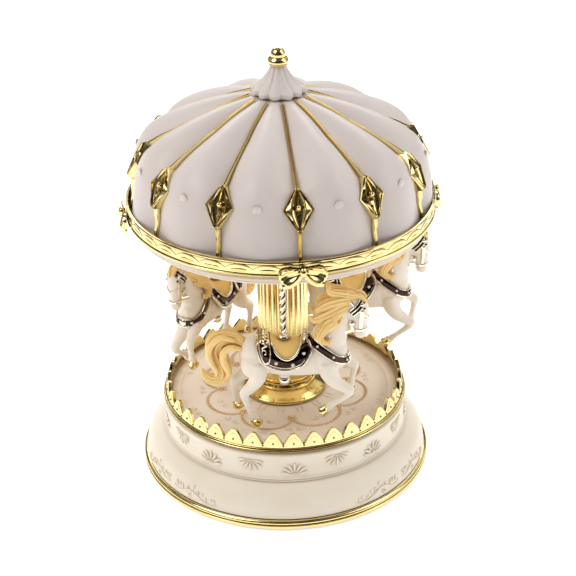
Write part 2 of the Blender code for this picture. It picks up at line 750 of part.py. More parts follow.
def spring_barrel(look):
    """Cup that holds the mainspring, with the great wheel on top."""
    bm = bmesh.new()
    profile = (
        (BARREL_R - 1.0, BARREL_BOTTOM), (BARREL_R, BARREL_BOTTOM), (BARREL_R, 12.0), (BARREL_R - 1.0, 12.0),
    )
    add_revolved(bm, profile, 32)
    body = finish("spring_barrel", bm, look, False)
    wheel_bm = bmesh.new()
    add_prism(wheel_bm, gear_outline(BARREL_TEETH, BARREL_MODULE, 0.0), 11.8, BARREL_TOP)
    wheel = finish("wheel_tool", wheel_bm, None, False)
    combine(body, [wheel], "UNION")
    bore = rod_tool("bore_tool", (0.0, 0.0, 11.0), (0.0, 0.0, BARREL_TOP + 1.0), 2.3, 16)
    combine(body, [bore], "DIFFERENCE")
    return bake(body)


def mainspring(look):
    """Coiled strip between the winding arbor and the barrel wall."""
    turns = 3.0
    steps = int(turns * 12)
    half = 0.22
    outer = []
    inner = []
    for step in range(steps + 1):
        share = step / steps
        radius = 2.9 + (BARREL_R - 1.0 - 2.9 - 0.7) * share
        turn = 2.0 * math.pi * turns * share
        outer.append(((radius + half) * math.cos(turn), (radius + half) * math.sin(turn)))
        inner.append(((radius - half) * math.cos(turn), (radius - half) * math.sin(turn)))
    bm = bmesh.new()
    low = BARREL_BOTTOM + 0.4
    high = 11.4
    loops = []
    for points in zip(outer, inner):
        loops.append([
            bm.verts.new((*points[0], low)), bm.verts.new((*points[0], high)),
            bm.verts.new((*points[1], high)), bm.verts.new((*points[1], low)),
        ])
    bm.faces.new(loops[0])
    bm.faces.new(loops[-1])
    for here, there in zip(loops, loops[1:]):
        for i in range(4):
            j = (i + 1) % 4
            bm.faces.new((here[i], here[j], there[j], there[i]))
    return finish("mainspring", bm, look, False)


def layshaft(look):
    """Intermediate arbor: small pinion on the barrel wheel, larger wheel on the drive gear."""
    bm = bmesh.new()
    add_rod(bm, (LAY_X, 0.0, BED_BOTTOM + 0.2), (LAY_X, 0.0, 17.4), 0.8, 10)
    body = finish("layshaft", bm, look, False)
    small_bm = bmesh.new()
    small = gear_outline(LAY_TEETH_IN, BARREL_MODULE, 180.0 + 180.0 / LAY_TEETH_IN)
    add_prism(small_bm, [(LAY_X + x, y) for x, y in small], 11.6, 13.6)
    large_bm = bmesh.new()
    large = gear_outline(LAY_TEETH_OUT, DRIVE_MODULE, 180.0 + 180.0 / LAY_TEETH_OUT)
    add_prism(large_bm, [(LAY_X + x, y) for x, y in large], 14.4, 15.8)
    tools = [finish("lay_small_tool", small_bm, None, False), finish("lay_large_tool", large_bm, None, False)]
    combine(body, tools, "UNION")
    return bake(body)


def drive_shaft(look):
    """Steel shaft with its driving gear at the foot; it turns the canopy."""
    bm = bmesh.new()
    add_rod(bm, (0.0, 0.0, 14.0), (0.0, 0.0, 146.0), SHAFT_R, 16)
    body = finish("drive_shaft", bm, look, False)
    gear_bm = bmesh.new()
    add_prism(gear_bm, gear_outline(DRIVE_TEETH, DRIVE_MODULE, 0.0), 14.4, 15.8)
    combine(body, [finish("drive_gear_tool", gear_bm, None, False)], "UNION")
    return bake(body)


def crown_wheel(look):
    """Face gear under the deck that turns the music cylinder."""
    tooth_low = CYLINDER_Z + PINION_TEETH * PINION_MODULE * 0.5 - TOOTH_ADDENDUM * PINION_MODULE
    disc_low = tooth_low + (TOOTH_ADDENDUM + TOOTH_DEDENDUM) * PINION_MODULE
    disc_high = disc_low + 1.2
    inner = CROWN_WHEEL_R - 1.4
    outer = CROWN_WHEEL_R + 1.4
    bm = bmesh.new()
    hole = SHAFT_R + GAP
    add_revolved(bm, ((hole, disc_low), (outer, disc_low), (outer, disc_high), (hole, disc_high)), 24)
    body = finish("crown_wheel", bm, look, False)
    tools = []
    root_half = TOOTH_ROOT * math.pi * PINION_MODULE * 0.92
    tip_half = TOOTH_TIP * math.pi * PINION_MODULE
    for tooth in range(CROWN_WHEEL_TEETH):
        turn = Matrix.Rotation(math.radians(90.0 + tooth * 360.0 / CROWN_WHEEL_TEETH), 4, "Z")
        tooth_bm = bmesh.new()
        top = disc_low + 0.4
        corners = []
        for radius in (inner, outer - 0.1):
            outline = ((root_half, top), (-root_half, top), (-tip_half, tooth_low), (tip_half, tooth_low))
            for half, height in outline:
                corners.append(tooth_bm.verts.new(turn @ Vector((radius, half, height))))
        near = corners[:4]
        far = corners[4:]
        tooth_bm.faces.new(near)
        tooth_bm.faces.new(far)
        for i in range(4):
            j = (i + 1) % 4
            tooth_bm.faces.new((near[i], near[j], far[j], far[i]))
        tools.append(finish(f"crown_tooth_{tooth}", tooth_bm, None, False))
    combine(body, tools, "UNION")
    return bake(body)


def winding_arbor(look):
    bm = bmesh.new()
    add_rod(bm, (0.0, 0.0, 0.9), (0.0, 0.0, 13.2), 2.0, 12)
    return finish("winding_arbor", bm, look, False)


# ---- canopy ---------------------------------------------------------------------------
def dome_shape(columns, rows):
    """Grid of points over the dome, which sinks from the crests of the gores to the rib lines."""
    grid = []
    for radius, height in rows:
        ring = []
        fade = min(1.0, (radius - 4.0) / 26.0) * min(1.0, 0.45 + abs(height - DOME[0][1]) / 18.0)
        for step in range(columns):
            azimuth = RIB_PHASE + 360.0 * step / columns
            wave = abs(math.sin(math.radians((azimuth - RIB_PHASE) * GORES / 2.0)))
            sink = DOME_VALLEY * fade * (1.0 - wave)
            drop = 0.9 if radius < 50.0 else 0.1
            ring.append((radius - sink * 0.8, azimuth, height - sink * drop))
        grid.append(ring)
    return grid


def dome_rows(offset):
    rows = []
    for i, (radius, height) in enumerate(DOME):
        before = DOME[max(0, i - 1)]
        after = DOME[min(len(DOME) - 1, i + 1)]
        along = Vector((after[0] - before[0], after[1] - before[1])).normalized()
        rows.append((radius - offset * along.y, height + offset * along.x))
    return rows


def canopy_shell(look):
    """Thin dome of twelve puffed gores, open at the crown for the finial stem."""
    columns = GORES * 4
    outer = dome_shape(columns, DOME)
    inner_rows = dome_rows(DOME_WALL)
    inner = dome_shape(columns, inner_rows[::3] + inner_rows[-1:])
    bm = bmesh.new()
    outer_rings = [[bm.verts.new(polar(*point)) for point in ring] for ring in outer]
    inner_rings = [[bm.verts.new(polar(*point)) for point in ring] for ring in inner]
    walls = outer_rings + inner_rings[::-1]
    for level in range(len(walls)):
        here = walls[level]
        there = walls[(level + 1) % len(walls)]
        for i in range(columns):
            j = (i + 1) % columns
            bm.faces.new((here[i], here[j], there[j], there[i]))
    return finish("canopy_shell", bm, look)


def valley_point(row):
    """Point on a rib line, in the rib's own plane, as radius and height."""
    ring = dome_shape(GORES, [row])[0]
    return Vector((ring[0][0], 0.0, ring[0][2]))


def rib_solid(name, azimuth):
    """One V-shaped rib with a kite ornament, from the rim to the crown ring."""
    rows = DOME[1:-1]
    path = [valley_point(row) for row in rows]
    path.insert(0, Vector((RIM_INNER + 0.2, 0.0, RIM_TOP - 1.8)))
    loops = []
    bm = bmesh.new()
    turn = Matrix.Rotation(math.radians(azimuth - 90.0), 4, "Z")
    for i, point in enumerate(path):
        along = (path[min(i + 1, len(path) - 1)] - path[max(i - 1, 0)]).normalized()
        out = Vector((along.z, 0.0, -along.x))
        half, rise = rib_width(i)
        fade = min(1.0, (point.x - 4.0) / 26.0)
        spread = math.sin(half / point.x * GORES / 2.0)
        lift = GAP + 0.1 + 1.1 * DOME_VALLEY * fade * spread
        corners = (
            point + out * lift + Vector((0.0, -half, 0.0)),
            point + out * (lift + rise),
            point + out * lift + Vector((0.0, half, 0.0)),
        )
        loops.append([bm.verts.new(turn @ corner) for corner in corners])
    bm.faces.new(loops[0])
    bm.faces.new(loops[-1])
    for here, there in zip(loops, loops[1:]):
        for i in range(3):
            j = (i + 1) % 3
            bm.faces.new((here[i], here[j], there[j], there[i]))
    return finish(name, bm, None, False)


def rib_width(index):
    """Half width and rise along a rib: wide in the middle for the kite, slim above it."""
    if index == KITE_ROW:
        return KITE_HALF, KITE_RISE
    if index <= KITE_ROW + 1:
        return RIB_HALF, RIB_RISE
    return RIB_TOP_HALF, RIB_RISE - 0.2


def rib_cage(look):
    """Gold rim band with its inner ledge, twelve ribs and the ring under the cap, in one piece."""
    bm = bmesh.new()
    profile = (
        (LEDGE_R, RIM_BOTTOM), (RIM_R - 0.4, RIM_BOTTOM), (RIM_R, RIM_BOTTOM + 0.9), (RIM_R, RIM_TOP - 0.7),
        (RIM_R - 0.4, RIM_TOP), (RIM_INNER, RIM_TOP), (RIM_INNER, LEDGE_TOP), (LEDGE_R, LEDGE_TOP),
    )
    add_revolved(bm, profile, 48)
    body = finish("rib_cage", bm, look)
    ribs = [rib_solid(f"rib_tool_{i}", RIB_PHASE + i * 360.0 / GORES) for i in range(GORES)]
    combine(body, ribs, "UNION")
    ring_bm = bmesh.new()
    add_revolved(ring_bm, CROWN_RING, 24)
    combine(body, [finish("crown_ring_tool", ring_bm, None, False)], "UNION")
    return bake(body)


def soffit_plate(look):
    """Cream underside of the canopy with a hole for the column and one for each pole."""
    bm = bmesh.new()
    profile = (
        (COLUMN_R + COLUMN_REED + 0.9, SOFFIT_BOTTOM + 0.8), (50.4, SOFFIT_BOTTOM + 0.8), (50.8, SOFFIT_BOTTOM),
        (SOFFIT_R - 0.5, SOFFIT_BOTTOM), (SOFFIT_R, SOFFIT_BOTTOM + 0.6), (SOFFIT_R, SOFFIT_TOP),
        (COLUMN_R + COLUMN_REED + 0.9, SOFFIT_TOP),
    )
    add_revolved(bm, profile, 36)
    body = finish("soffit_plate", bm, look, False)
    tools = []
    for name, azimuth, _heading, _lift in HORSES:
        low = polar(POLE_RING_R, azimuth, SOFFIT_BOTTOM - 1.0)
        high = polar(POLE_RING_R, azimuth, SOFFIT_TOP + 1.0)
        tools.append(rod_tool(f"pole_hole_{name}", low, high, POLE_R + 0.42, 8))
    combine(body, tools, "DIFFERENCE")
    return bake(body)


def canopy_hub(look):
    """Moulded boss that clamps the dome to the drive shaft."""
    profile = (
        (SHAFT_R + GAP, 132.0), (4.0, 132.0), (4.2, 143.0), (9.0, 145.4), (9.0, 146.6), (SHAFT_R + GAP, 147.6),
    )
    return revolved("canopy_hub", profile, 20, look)


def cap(look):
    """Fluted cream cone over the top of the dome."""
    outer = ((CAP_R, CAP_BOTTOM), (9.4, CAP_BOTTOM + 0.8), (6.3, 153.1), (4.1, 155.4), (2.7, CAP_TOP))
    inner = ((CAP_BORE, CAP_TOP), (CAP_BORE, 153.4), (8.6, CAP_BOTTOM))
    segments = GORES * 3
    bm = bmesh.new()
    rings = []
    for step in range(segments):
        azimuth = RIB_PHASE - 8.0 + 360.0 * step / segments
        flute = CAP_FLUTE if step % 3 == 0 else 0.0
        ring = []
        for radius, height in outer:
            depth = flute * (radius / CAP_R + 0.4)
            ring.append(bm.verts.new(polar(radius - depth, azimuth, height)))
        for radius, height in inner:
            ring.append(bm.verts.new(polar(radius, azimuth, height)))
        rings.append(ring)
    for step in range(segments):
        here = rings[step]
        there = rings[(step + 1) % segments]
        for i in range(len(here)):
            j = (i + 1) % len(here)
            bm.faces.new((here[i], here[j], there[j], there[i]))
    return finish("cap", bm, look)


def finial(look):
    """Two balls on a stem that runs down through the cap into the hub."""
    seat = CAP_TOP + GAP
    profile = (
        (0.2, STEM_BOTTOM), (STEM_R, STEM_BOTTOM), (STEM_R, seat), (2.2, seat), (3.1, BALL_Z - 1.3),
        (BALL_R, BALL_Z), (3.1, BALL_Z + 1.3), (2.1, TIP_Z - 1.0), (TIP_R, TIP_Z), (2.0, TIP_Z + 1.3),
        (0.9, FINIAL_TOP), (0.2, FINIAL_TOP),
    )
    return revolved("finial", profile, 12, look)


def bow(name, azimuth, look):
    """Gold ribbon bow on the rim: two loops, two tails and a knot."""
    bm = bmesh.new()
    add_box(bm, (-1.5, -2.3, -1.5), (1.5, 0.5, 1.5))
    body = finish(name, bm, look, False)
    tools = []
    for side in (-1.0, 1.0):
        loop_bm = bmesh.new()
        add_loop_plate(loop_bm, [(side * x, z) for x, z in BOW_LOOP], 0.3, 1.9)
        tools.append(finish(f"{name}_loop_{int(side)}", loop_bm, None, False))
        tail_bm = bmesh.new()
        add_loop_plate(tail_bm, [(side * x, z) for x, z in BOW_TAIL], 0.1, 0.9)
        tools.append(finish(f"{name}_tail_{int(side)}", tail_bm, None, False))
    combine(body, tools, "UNION")
    holes = []
    for side in (-1.0, 1.0):
        hole_bm = bmesh.new()
        add_loop_plate(hole_bm, [(side * x, z) for x, z in BOW_EYE], -2.0, 4.0)
        holes.append(finish(f"{name}_eye_{int(side)}", hole_bm, None, False))
    combine(body, holes, "DIFFERENCE")
    bake(body)
    turn = Matrix.Rotation(math.radians(azimuth), 4, "Z")
    place = Matrix.Translation(polar(BOW_R * MM, azimuth, BOW_Z * MM)) @ turn
    body.data.transform(place)
    return body


def add_loop_plate(bm, outline, back, front):
    """Flat plate in the bow's own plane; +Y of the outline points out of the rim."""
    near = [bm.verts.new((x, -front, z)) for x, z in outline]
    far = [bm.verts.new((x, -back, z)) for x, z in outline]
    bm.faces.new(near)
    bm.faces.new(far)
    for i in range(len(outline)):
        j = (i + 1) % len(outline)
        bm.faces.new((near[i], near[j], far[j], far[i]))


def smooth_path(points, steps=SPLINE_STEPS):
    """Catmull-Rom curve through the points; every value of a point is carried along."""
    count = len(points)
    path = []
    for i in range(count - 1):
        p0 = points[max(i - 1, 0)]
        p1 = points[i]
        p2 = points[i + 1]
        p3 = points[min(i + 2, count - 1)]
        for step in range(steps):
            t = step / steps
            path.append(tuple(
                0.5 * (2.0 * b + (c - a) * t + (2.0 * a - 5.0 * b + 4.0 * c - d) * t ** 2
                       + (3.0 * b - a - 3.0 * c + d) * t ** 3)
                for a, b, c, d in zip(p0, p1, p2, p3)
            ))
    path.append(points[-1])
    return path


def add_tube(bm, path, sides=TUBE_SIDES):
    """Closed limb through (x, y, z, side radius, plane radius) stations."""
    loops = []
    for i, (x, y, z, side_r, plane_r) in enumerate(path):
        before = path[max(i - 1, 0)]
        after = path[min(i + 1, len(path) - 1)]
        along = Vector((after[0] - before[0], after[1] - before[1], after[2] - before[2])).normalized()
        lateral = (Vector((0.0, 1.0, 0.0)) - along * along.y).normalized()
        rise = along.cross(lateral)
        loop = []
        for step in range(sides):
            turn = 2.0 * math.pi * step / sides
            offset = lateral * math.cos(turn) * side_r + rise * math.sin(turn) * plane_r
            loop.append(bm.verts.new(Vector((x, y, z)) + offset))
        loops.append(loop)
    bm.faces.new(loops[0])
    bm.faces.new(loops[-1])
    for here, there in zip(loops, loops[1:]):
        for i in range(sides):
            j = (i + 1) % sides
            bm.faces.new((here[i], here[j], there[j], there[i]))


def flat_stations(points):
    return [(x, 0.0, z, side_r, plane_r) for x, z, side_r, plane_r in points]


def round_stations(points):
    return [(x, y, z, radius, radius) for x, y, z, radius in points]


def horse_mesh(look):
    """One moulded prancing horse, bored for its pole."""
    bm = bmesh.new()
    add_tube(bm, smooth_path(flat_stations(TRUNK)))
    add_tube(bm, smooth_path(flat_stations(NECK)))
    add_tube(bm, smooth_path(flat_stations(HEAD)))
    for leg in LEGS:
        add_tube(bm, smooth_path(round_stations(leg)))
    add_tube(bm, smooth_path(round_stations(TAIL)))
    add_tube(bm, smooth_path(round_stations(FORELOCK)))
    for lock in MANE:
        add_tube(bm, smooth_path(round_stations(lock)))
    for side in (-1.0, 1.0):
        add_tube(bm, round_stations([(x, y * side, z, radius) for x, y, z, radius in EAR]))
    body = finish("horse_front", bm, look)
    remesh = body.modifiers.new("skin", "REMESH")
    remesh.mode = "VOXEL"
    remesh.voxel_size = VOXEL
    soften = body.modifiers.new("soften", "SMOOTH")
    soften.factor = 0.5
    soften.iterations = 4
    thin = body.modifiers.new("thin", "DECIMATE")
    thin.ratio = HORSE_RATIO
    bake(body)
    bore = rod_tool("horse_bore", (0.0, 0.0, 40.0), (0.0, 0.0, 75.0), BORE_R, 10)
    combine(body, [bore], "DIFFERENCE")
    bake(body)
    for face in body.data.polygons:
        face.use_smooth = True
    return body


def trunk_section(x):
    """Centre height, side radius and plane radius of the trunk at x."""
    for here, there in zip(TRUNK, TRUNK[1:]):
        if here[0] <= x <= there[0]:
            share = (x - here[0]) / (there[0] - here[0])
            return tuple(a + (b - a) * share for a, b in zip(here[1:], there[1:]))
    return TRUNK[-1][1:]


def add_shell_grid(bm, outer, inner):
    """Joins two equal grids of points into one closed plate."""
    rows = len(outer)
    columns = len(outer[0])
    top = [[bm.verts.new(point) for point in row] for row in outer]
    under = [[bm.verts.new(point) for point in row] for row in inner]
    for i in range(rows - 1):
        for j in range(columns - 1):
            bm.faces.new((top[i][j], top[i + 1][j], top[i + 1][j + 1], top[i][j + 1]))
            bm.faces.new((under[i][j], under[i][j + 1], under[i + 1][j + 1], under[i + 1][j]))
    for i in range(rows - 1):
        bm.faces.new((top[i][0], under[i][0], under[i + 1][0], top[i + 1][0]))
        bm.faces.new((top[i][-1], top[i + 1][-1], under[i + 1][-1], under[i][-1]))
    for j in range(columns - 1):
        bm.faces.new((top[0][j], top[0][j + 1], under[0][j + 1], under[0][j]))
        bm.faces.new((top[-1][j], under[-1][j], under[-1][j + 1], top[-1][j + 1]))


def saddle_cover(look):
    """The part of the saddle that wraps the back."""
    stations = 6
    spread = 9
    outer = []
    inner = []
    for i in range(stations):
        share = i / (stations - 1)
        x = SADDLE_START + (SADDLE_END - SADDLE_START) * share
        centre, side_r, plane_r = trunk_section(x)
        reach = SADDLE_REACH + FLAP_REACH * math.sin(math.pi * min(1.0, share * 1.15))
        rise = CANTLE_RISE * max(0.0, 1.0 - share * 4.0) + POMMEL_RISE * max(0.0, share * 4.0 - 3.0)
        outer_row = []
        inner_row = []
        for j in range(spread):
            turn = math.radians(reach * (2.0 * j / (spread - 1) - 1.0))
            lift = rise * max(0.0, math.cos(turn)) ** 2
            faces = ((inner_row, SADDLE_CLEAR, 0.0), (outer_row, SADDLE_CLEAR + SADDLE_WALL, lift))
            for row, extra, up in faces:
                y = (side_r + extra) * math.sin(turn)
                z = centre + (plane_r + extra) * math.cos(turn) + up
                row.append(Vector((x, y, z)))
        outer.append(outer_row)
        inner.append(inner_row)
    bm = bmesh.new()
    add_shell_grid(bm, outer, inner)
    return finish("saddle_front", bm, look)


def breast_strap():
    """Slanting band round the chest, open at the back."""
    bm = bmesh.new()
    outer = []
    inner = []
    steps = 12
    for i in range(steps + 1):
        turn = math.radians(-98.0 + 196.0 * i / steps)
        height = STRAP_TOP - STRAP_DROP * max(0.0, math.cos(turn))
        for rows, extra in ((inner, 0.0), (outer, STRAP_WALL)):
            x = STRAP_X + (STRAP_REACH + extra) * math.cos(turn)
            y = (STRAP_SIDE + extra) * math.sin(turn)
            rows.append([Vector((x, y, height + STRAP_HALF)), Vector((x, y, height - STRAP_HALF))])
    add_shell_grid(bm, outer, inner)
    return finish("strap_tool", bm, None)


def saddle_mesh(look):
    """Plated saddle with its breast strap, in one moulding."""
    body = saddle_cover(look)
    tools = [breast_strap()]
    for side in (-1.0, 1.0):
        middle = side * (STRAP_SIDE - 0.6)
        low = (STRAP_X - 3.0, middle - 0.8, STRAP_TOP - 2.6)
        high = (STRAP_X + 0.4, middle + 0.8, STRAP_TOP - 0.4)
        tools.append(box_tool(f"strap_link_{int(side)}", low, high))
    combine(body, tools, "UNION")
    bore = rod_tool("saddle_bore", (0.0, 0.0, 60.0), (0.0, 0.0, 75.0), BORE_R + 0.05, 10)
    combine(body, [bore], "DIFFERENCE")
    return bake(body)


def pole_mesh(look):
    """Barley-twist bar between saddle and canopy, plain at both ends."""
    bm = bmesh.new()
    sides = 6
    pitch_steps = 5
    levels = [(POLE_BOTTOM, POLE_THIN_R, POLE_THIN_R, 0), (TWIST_BOTTOM - 0.6, POLE_THIN_R, POLE_THIN_R, 0)]
    count = 14
    for i in range(count + 1):
        height = TWIST_BOTTOM + (TWIST_TOP - TWIST_BOTTOM) * i / count
        levels.append((height, POLE_R, TWIST_WAIST_R, i))
    levels.append((TWIST_TOP + 0.6, POLE_R, POLE_R, count))
    levels.append((POLE_TOP, POLE_R, POLE_R, count))
    rings = []
    for height, wide, narrow, step in levels:
        ring = []
        for side in range(sides):
            turn = 2.0 * math.pi * (side / sides + step / (pitch_steps * sides) * 2.0)
            radius = wide if side % 2 == 0 else narrow
            ring.append(bm.verts.new((radius * math.cos(turn), radius * math.sin(turn), height)))
        rings.append(ring)
    bm.faces.new(rings[0])
    bm.faces.new(rings[-1])
    for here, there in zip(rings, rings[1:]):
        for i in range(sides):
            j = (i + 1) % sides
            bm.faces.new((here[i], here[j], there[j], there[i]))
    return finish("pole_front", bm, look)


def knob_mesh(look):
    profile = (
        (KNOB_BORE, KNOB_TOP), (1.8, KNOB_TOP), (2.1, 49.4),
        (2.0, 48.3), (1.55, KNOB_BOTTOM), (KNOB_BORE, KNOB_BOTTOM),
    )
    return revolved("pole_knob_front", profile, 10, look)


def follower_mesh(look):
    """Boss on the pole with an arm that rides the cam ring; the arm points at the column."""
    low = FOLLOWER_LOW
    bm = bmesh.new()
    add_rod(bm, (0.0, 0.0, low), (0.0, 0.0, low + FOLLOWER_HEIGHT), FOLLOWER_R, 14)
    body = finish("pole_follower_front", bm, look, False)
    arm_end = POLE_RING_R - CAM_INNER + 0.4
    arm = box_tool("arm_tool", (-ARM_HALF, 0.0, low), (ARM_HALF, arm_end, low + 2.0 * ARM_HALF))
    bore = rod_tool("follower_bore", (0.0, 0.0, low - 1.0), (0.0, 0.0, low + 5.0), POLE_R + GAP, 12)
    combine(body, [arm], "UNION")
    combine(body, [bore], "DIFFERENCE")
    return bake(body)


def place_horse_pieces(parts):
    """Sets the front pieces on their pole and makes the other two horses' copies."""
    for name, azimuth, heading, lift in HORSES:
        stand = polar(POLE_RING_R * MM, azimuth, lift * MM)
        for stem, source, spin in parts:
            piece = source
            if name != "front":
                piece = bpy.data.objects.new(f"{stem}_{name}", source.data)
                bpy.context.scene.collection.objects.link(piece)
            piece.location = stand
            angle = heading if spin == "heading" else azimuth
            piece.rotation_euler = (0.0, 0.0, math.radians(angle))


def set_origin(piece, point):
    """Moves a piece's origin onto its joint axis without moving the piece."""
    shift = Vector(point) * MM
    piece.data.transform(Matrix.Translation(-shift))
    piece.location = shift


def main():
    clear_scene()
    look = looks()
    base_shell(look["cream"])
    foot_ring(look["gold"])
    deck_plate(look["cream"])
    crown_edging(look["gold"])
    column_foot(look["gold"])
    column(look["gold"])
    bush("lower_bush", DECK_BOTTOM, DECK_TOP, DECK_BORE - GAP, look["brass"])
    bush("upper_bush", COLUMN_TOP - 3.4, COLUMN_TOP, COLUMN_BORE - GAP, look["white"])
    cam_ring(look["white"])
    bottom_cover(look["cream"])
    for number, azimuth in enumerate(COVER_SCREW_AZIMUTHS):
        spot = polar(COVER_SCREW_R, azimuth, 0.0)
        head = COVER_BOTTOM - GAP
        screw(f"cover_screw_{number + 1}", spot.x, spot.y, head - 1.2, head, 2.0, 7.5, 1.0, look["steel"], 10)
    movement_bedplate(look["zinc"])
    comb(look["steel"])
    comb_base(look["brass"])
    for number, y in enumerate(COMB_SCREW_Y):
        head = CYLINDER_Z + COMB_HALF + GAP
        foot = BED_TOP + 1.6
        screw(f"comb_screw_{number + 1}", COMB_SCREW_X, y, head, head + 1.0, 1.5, foot, 0.8, look["brass"], 10)
    bearing_bracket("cylinder_bracket_inner", 13.4, -3.0, 3.0, ((0.0, 1.2),), look["zinc"])
    bearing_bracket("cylinder_bracket_outer", 38.4, -10.6, 3.0, ((0.0, 1.2), (FLY_X, 1.1)), look["zinc"])
    bearing_bracket("governor_bracket", 20.4, -10.6, -5.6, ((FLY_X, 1.1),), look["zinc"])
    set_origin(music_cylinder(look["brass"]), (0.0, 0.0, CYLINDER_Z))
    set_origin(governor_fly(look["steel"]), (FLY_X, 0.0, CYLINDER_Z))
    spring_barrel(look["brass"])
    mainspring(look["steel"])
    set_origin(layshaft(look["brass"]), (LAY_X, 0.0, 0.0))
    drive_shaft(look["steel"])
    crown_wheel(look["brass"])
    winding_plate(look["gold"])
    winding_arbor(look["steel"])
    for number, azimuth in enumerate((0.0, 120.0, 240.0)):
        rubber_foot(f"rubber_foot_{number + 1}", azimuth, look["rubber"])
    canopy_shell(look["satin"])
    rib_cage(look["gold"])
    soffit_plate(look["cream"])
    canopy_hub(look["white"])
    cap(look["satin"])
    finial(look["gold"])
    for number, azimuth in enumerate(BOW_AZIMUTHS):
        bow(f"bow_{number + 1}", azimuth, look["gold"])
    pieces = (
        ("horse", horse_mesh(look["horse"]), "heading"),
        ("saddle", saddle_mesh(look["silver"]), "heading"),
        ("pole", pole_mesh(look["silver"]), "heading"),
        ("pole_knob", knob_mesh(look["silver"]), "heading"),
        ("pole_follower", follower_mesh(look["white"]), "azimuth"),
    )
    place_horse_pieces(pieces)


main()
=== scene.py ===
"""Looks for the carousel music box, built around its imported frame.

Lengths are in millimetres and MM turns them into metres. Azimuths are measured from the front
(-Y) toward +X. Every size starts from the box of the CAD node that the piece stands for.
"""

import json
import math

import bmesh
import bpy
from mathutils import Matrix, Vector
from mathutils.bvhtree import BVHTree


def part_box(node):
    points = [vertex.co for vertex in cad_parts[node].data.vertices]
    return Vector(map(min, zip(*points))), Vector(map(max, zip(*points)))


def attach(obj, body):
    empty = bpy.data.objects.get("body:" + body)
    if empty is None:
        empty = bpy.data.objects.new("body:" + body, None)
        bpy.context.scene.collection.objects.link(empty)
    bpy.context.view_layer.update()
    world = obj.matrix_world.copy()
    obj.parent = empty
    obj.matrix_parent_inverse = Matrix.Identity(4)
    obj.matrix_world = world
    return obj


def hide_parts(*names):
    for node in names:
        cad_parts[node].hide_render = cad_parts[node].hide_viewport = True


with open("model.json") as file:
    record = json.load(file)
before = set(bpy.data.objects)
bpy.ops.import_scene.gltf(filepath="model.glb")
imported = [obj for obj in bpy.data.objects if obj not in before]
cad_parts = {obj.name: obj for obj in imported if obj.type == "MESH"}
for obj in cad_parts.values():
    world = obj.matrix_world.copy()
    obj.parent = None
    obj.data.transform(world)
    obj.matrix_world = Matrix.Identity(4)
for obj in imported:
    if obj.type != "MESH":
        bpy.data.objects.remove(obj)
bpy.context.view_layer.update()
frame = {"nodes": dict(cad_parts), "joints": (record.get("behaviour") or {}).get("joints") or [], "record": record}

MM = 0.001


def span(node):
    """Lowest and highest corner of a CAD node in millimetres."""
    low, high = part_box(node)
    return low / MM, high / MM


# ---- sizes read from the frame ----------------------------------------------------------
RING_LOW, RING_HIGH = span("foot_ring")
PLATE_LOW, PLATE_HIGH = span("winding_plate")
SHELL_LOW, SHELL_HIGH = span("base_shell")
DECK_LOW, DECK_HIGH = span("deck_plate")
EDGE_LOW, EDGE_HIGH = span("crown_edging")
FOOT_LOW, FOOT_HIGH = span("column_foot")
COLUMN_LOW, COLUMN_HIGH = span("column")
DOME_LOW, DOME_HIGH = span("canopy_shell")
CAGE_LOW, CAGE_HIGH = span("rib_cage")
SOFFIT_LOW, SOFFIT_HIGH = span("soffit_plate")
CAP_LOW, CAP_HIGH = span("cap")
FINIAL_LOW, FINIAL_HIGH = span("finial")
BOW_TOP = span("bow_1")[1].z
POLE_LOW, POLE_HIGH = span("pole_front")
KNOB_LOW, KNOB_HIGH = span("pole_knob_front")

BASE_R = RING_HIGH.x
SHELL_R = SHELL_HIGH.x
DECK_R = DECK_HIGH.x
DECK_TOP = DECK_HIGH.z
EDGE_R = EDGE_HIGH.x
FOOT_R = FOOT_HIGH.x
RIM_R = CAGE_HIGH.x
RIM_LOW = CAGE_LOW.z
COLUMN_R = COLUMN_HIGH.x
DOME_BASE = DOME_LOW.z
CAP_R = CAP_HIGH.x
SHELL_FOOT = SHELL_LOW.z
EDGE_RISE = EDGE_HIGH.z - EDGE_LOW.z
CLEAR = 0.3

BODY_OF = {}
for body_name, members in frame["record"]["behaviour"]["bodies"].items():
    for member in members:
        BODY_OF[member] = body_name
SLOT_OF = {row["node"]: row["material_slot"] for row in frame["record"]["subparts"]}
PIVOT = {joint["name"]: Vector(joint["pos_m"]) / MM for joint in frame["joints"] if "pos_m" in joint}

# ---- counts and phases --------------------------------------------------------------------
GORES = 12
RIB_PHASE = 6.5
RIB_STEP = 360.0 / GORES
EDGE_POINTS = 38
EDGE_PHASE = 3.7
BOW_AZIMUTHS = (7.0, 97.0, 187.0, 277.0)
HEADINGS = {"front": 0.0, "right": 0.0, "left": 240.0}
ROUND = 160
SIDES = (-1.0, 1.0)
LEFT = Vector((0.0, 1.0, 0.0))
LEAST_WIDTH = 0.03
LEAST_RISE = 0.02


# ---- shape helpers ------------------------------------------------------------------------
def polar(radius, azimuth, height):
    turn = math.radians(azimuth)
    return Vector((radius * math.sin(turn), -radius * math.cos(turn), height))


def around(count):
    """Angles in radians of an even ring."""
    return [2.0 * math.pi * step / count for step in range(count)]


def rotation(azimuth):
    """Small matrix that swings a bead round to an azimuth in degrees."""
    return Matrix.Rotation(math.radians(azimuth), 3, "Z")


def heading(rows, i):
    """Flat direction of a path at its point i, taken between the two neighbours."""
    before = rows[max(i - 1, 0)]
    after = rows[min(i + 1, len(rows) - 1)]
    return Vector((after[0] - before[0], after[1] - before[1])).normalized()


def value(given, share):
    """A number as it is, a function read at the share."""
    return given(share) if callable(given) else given


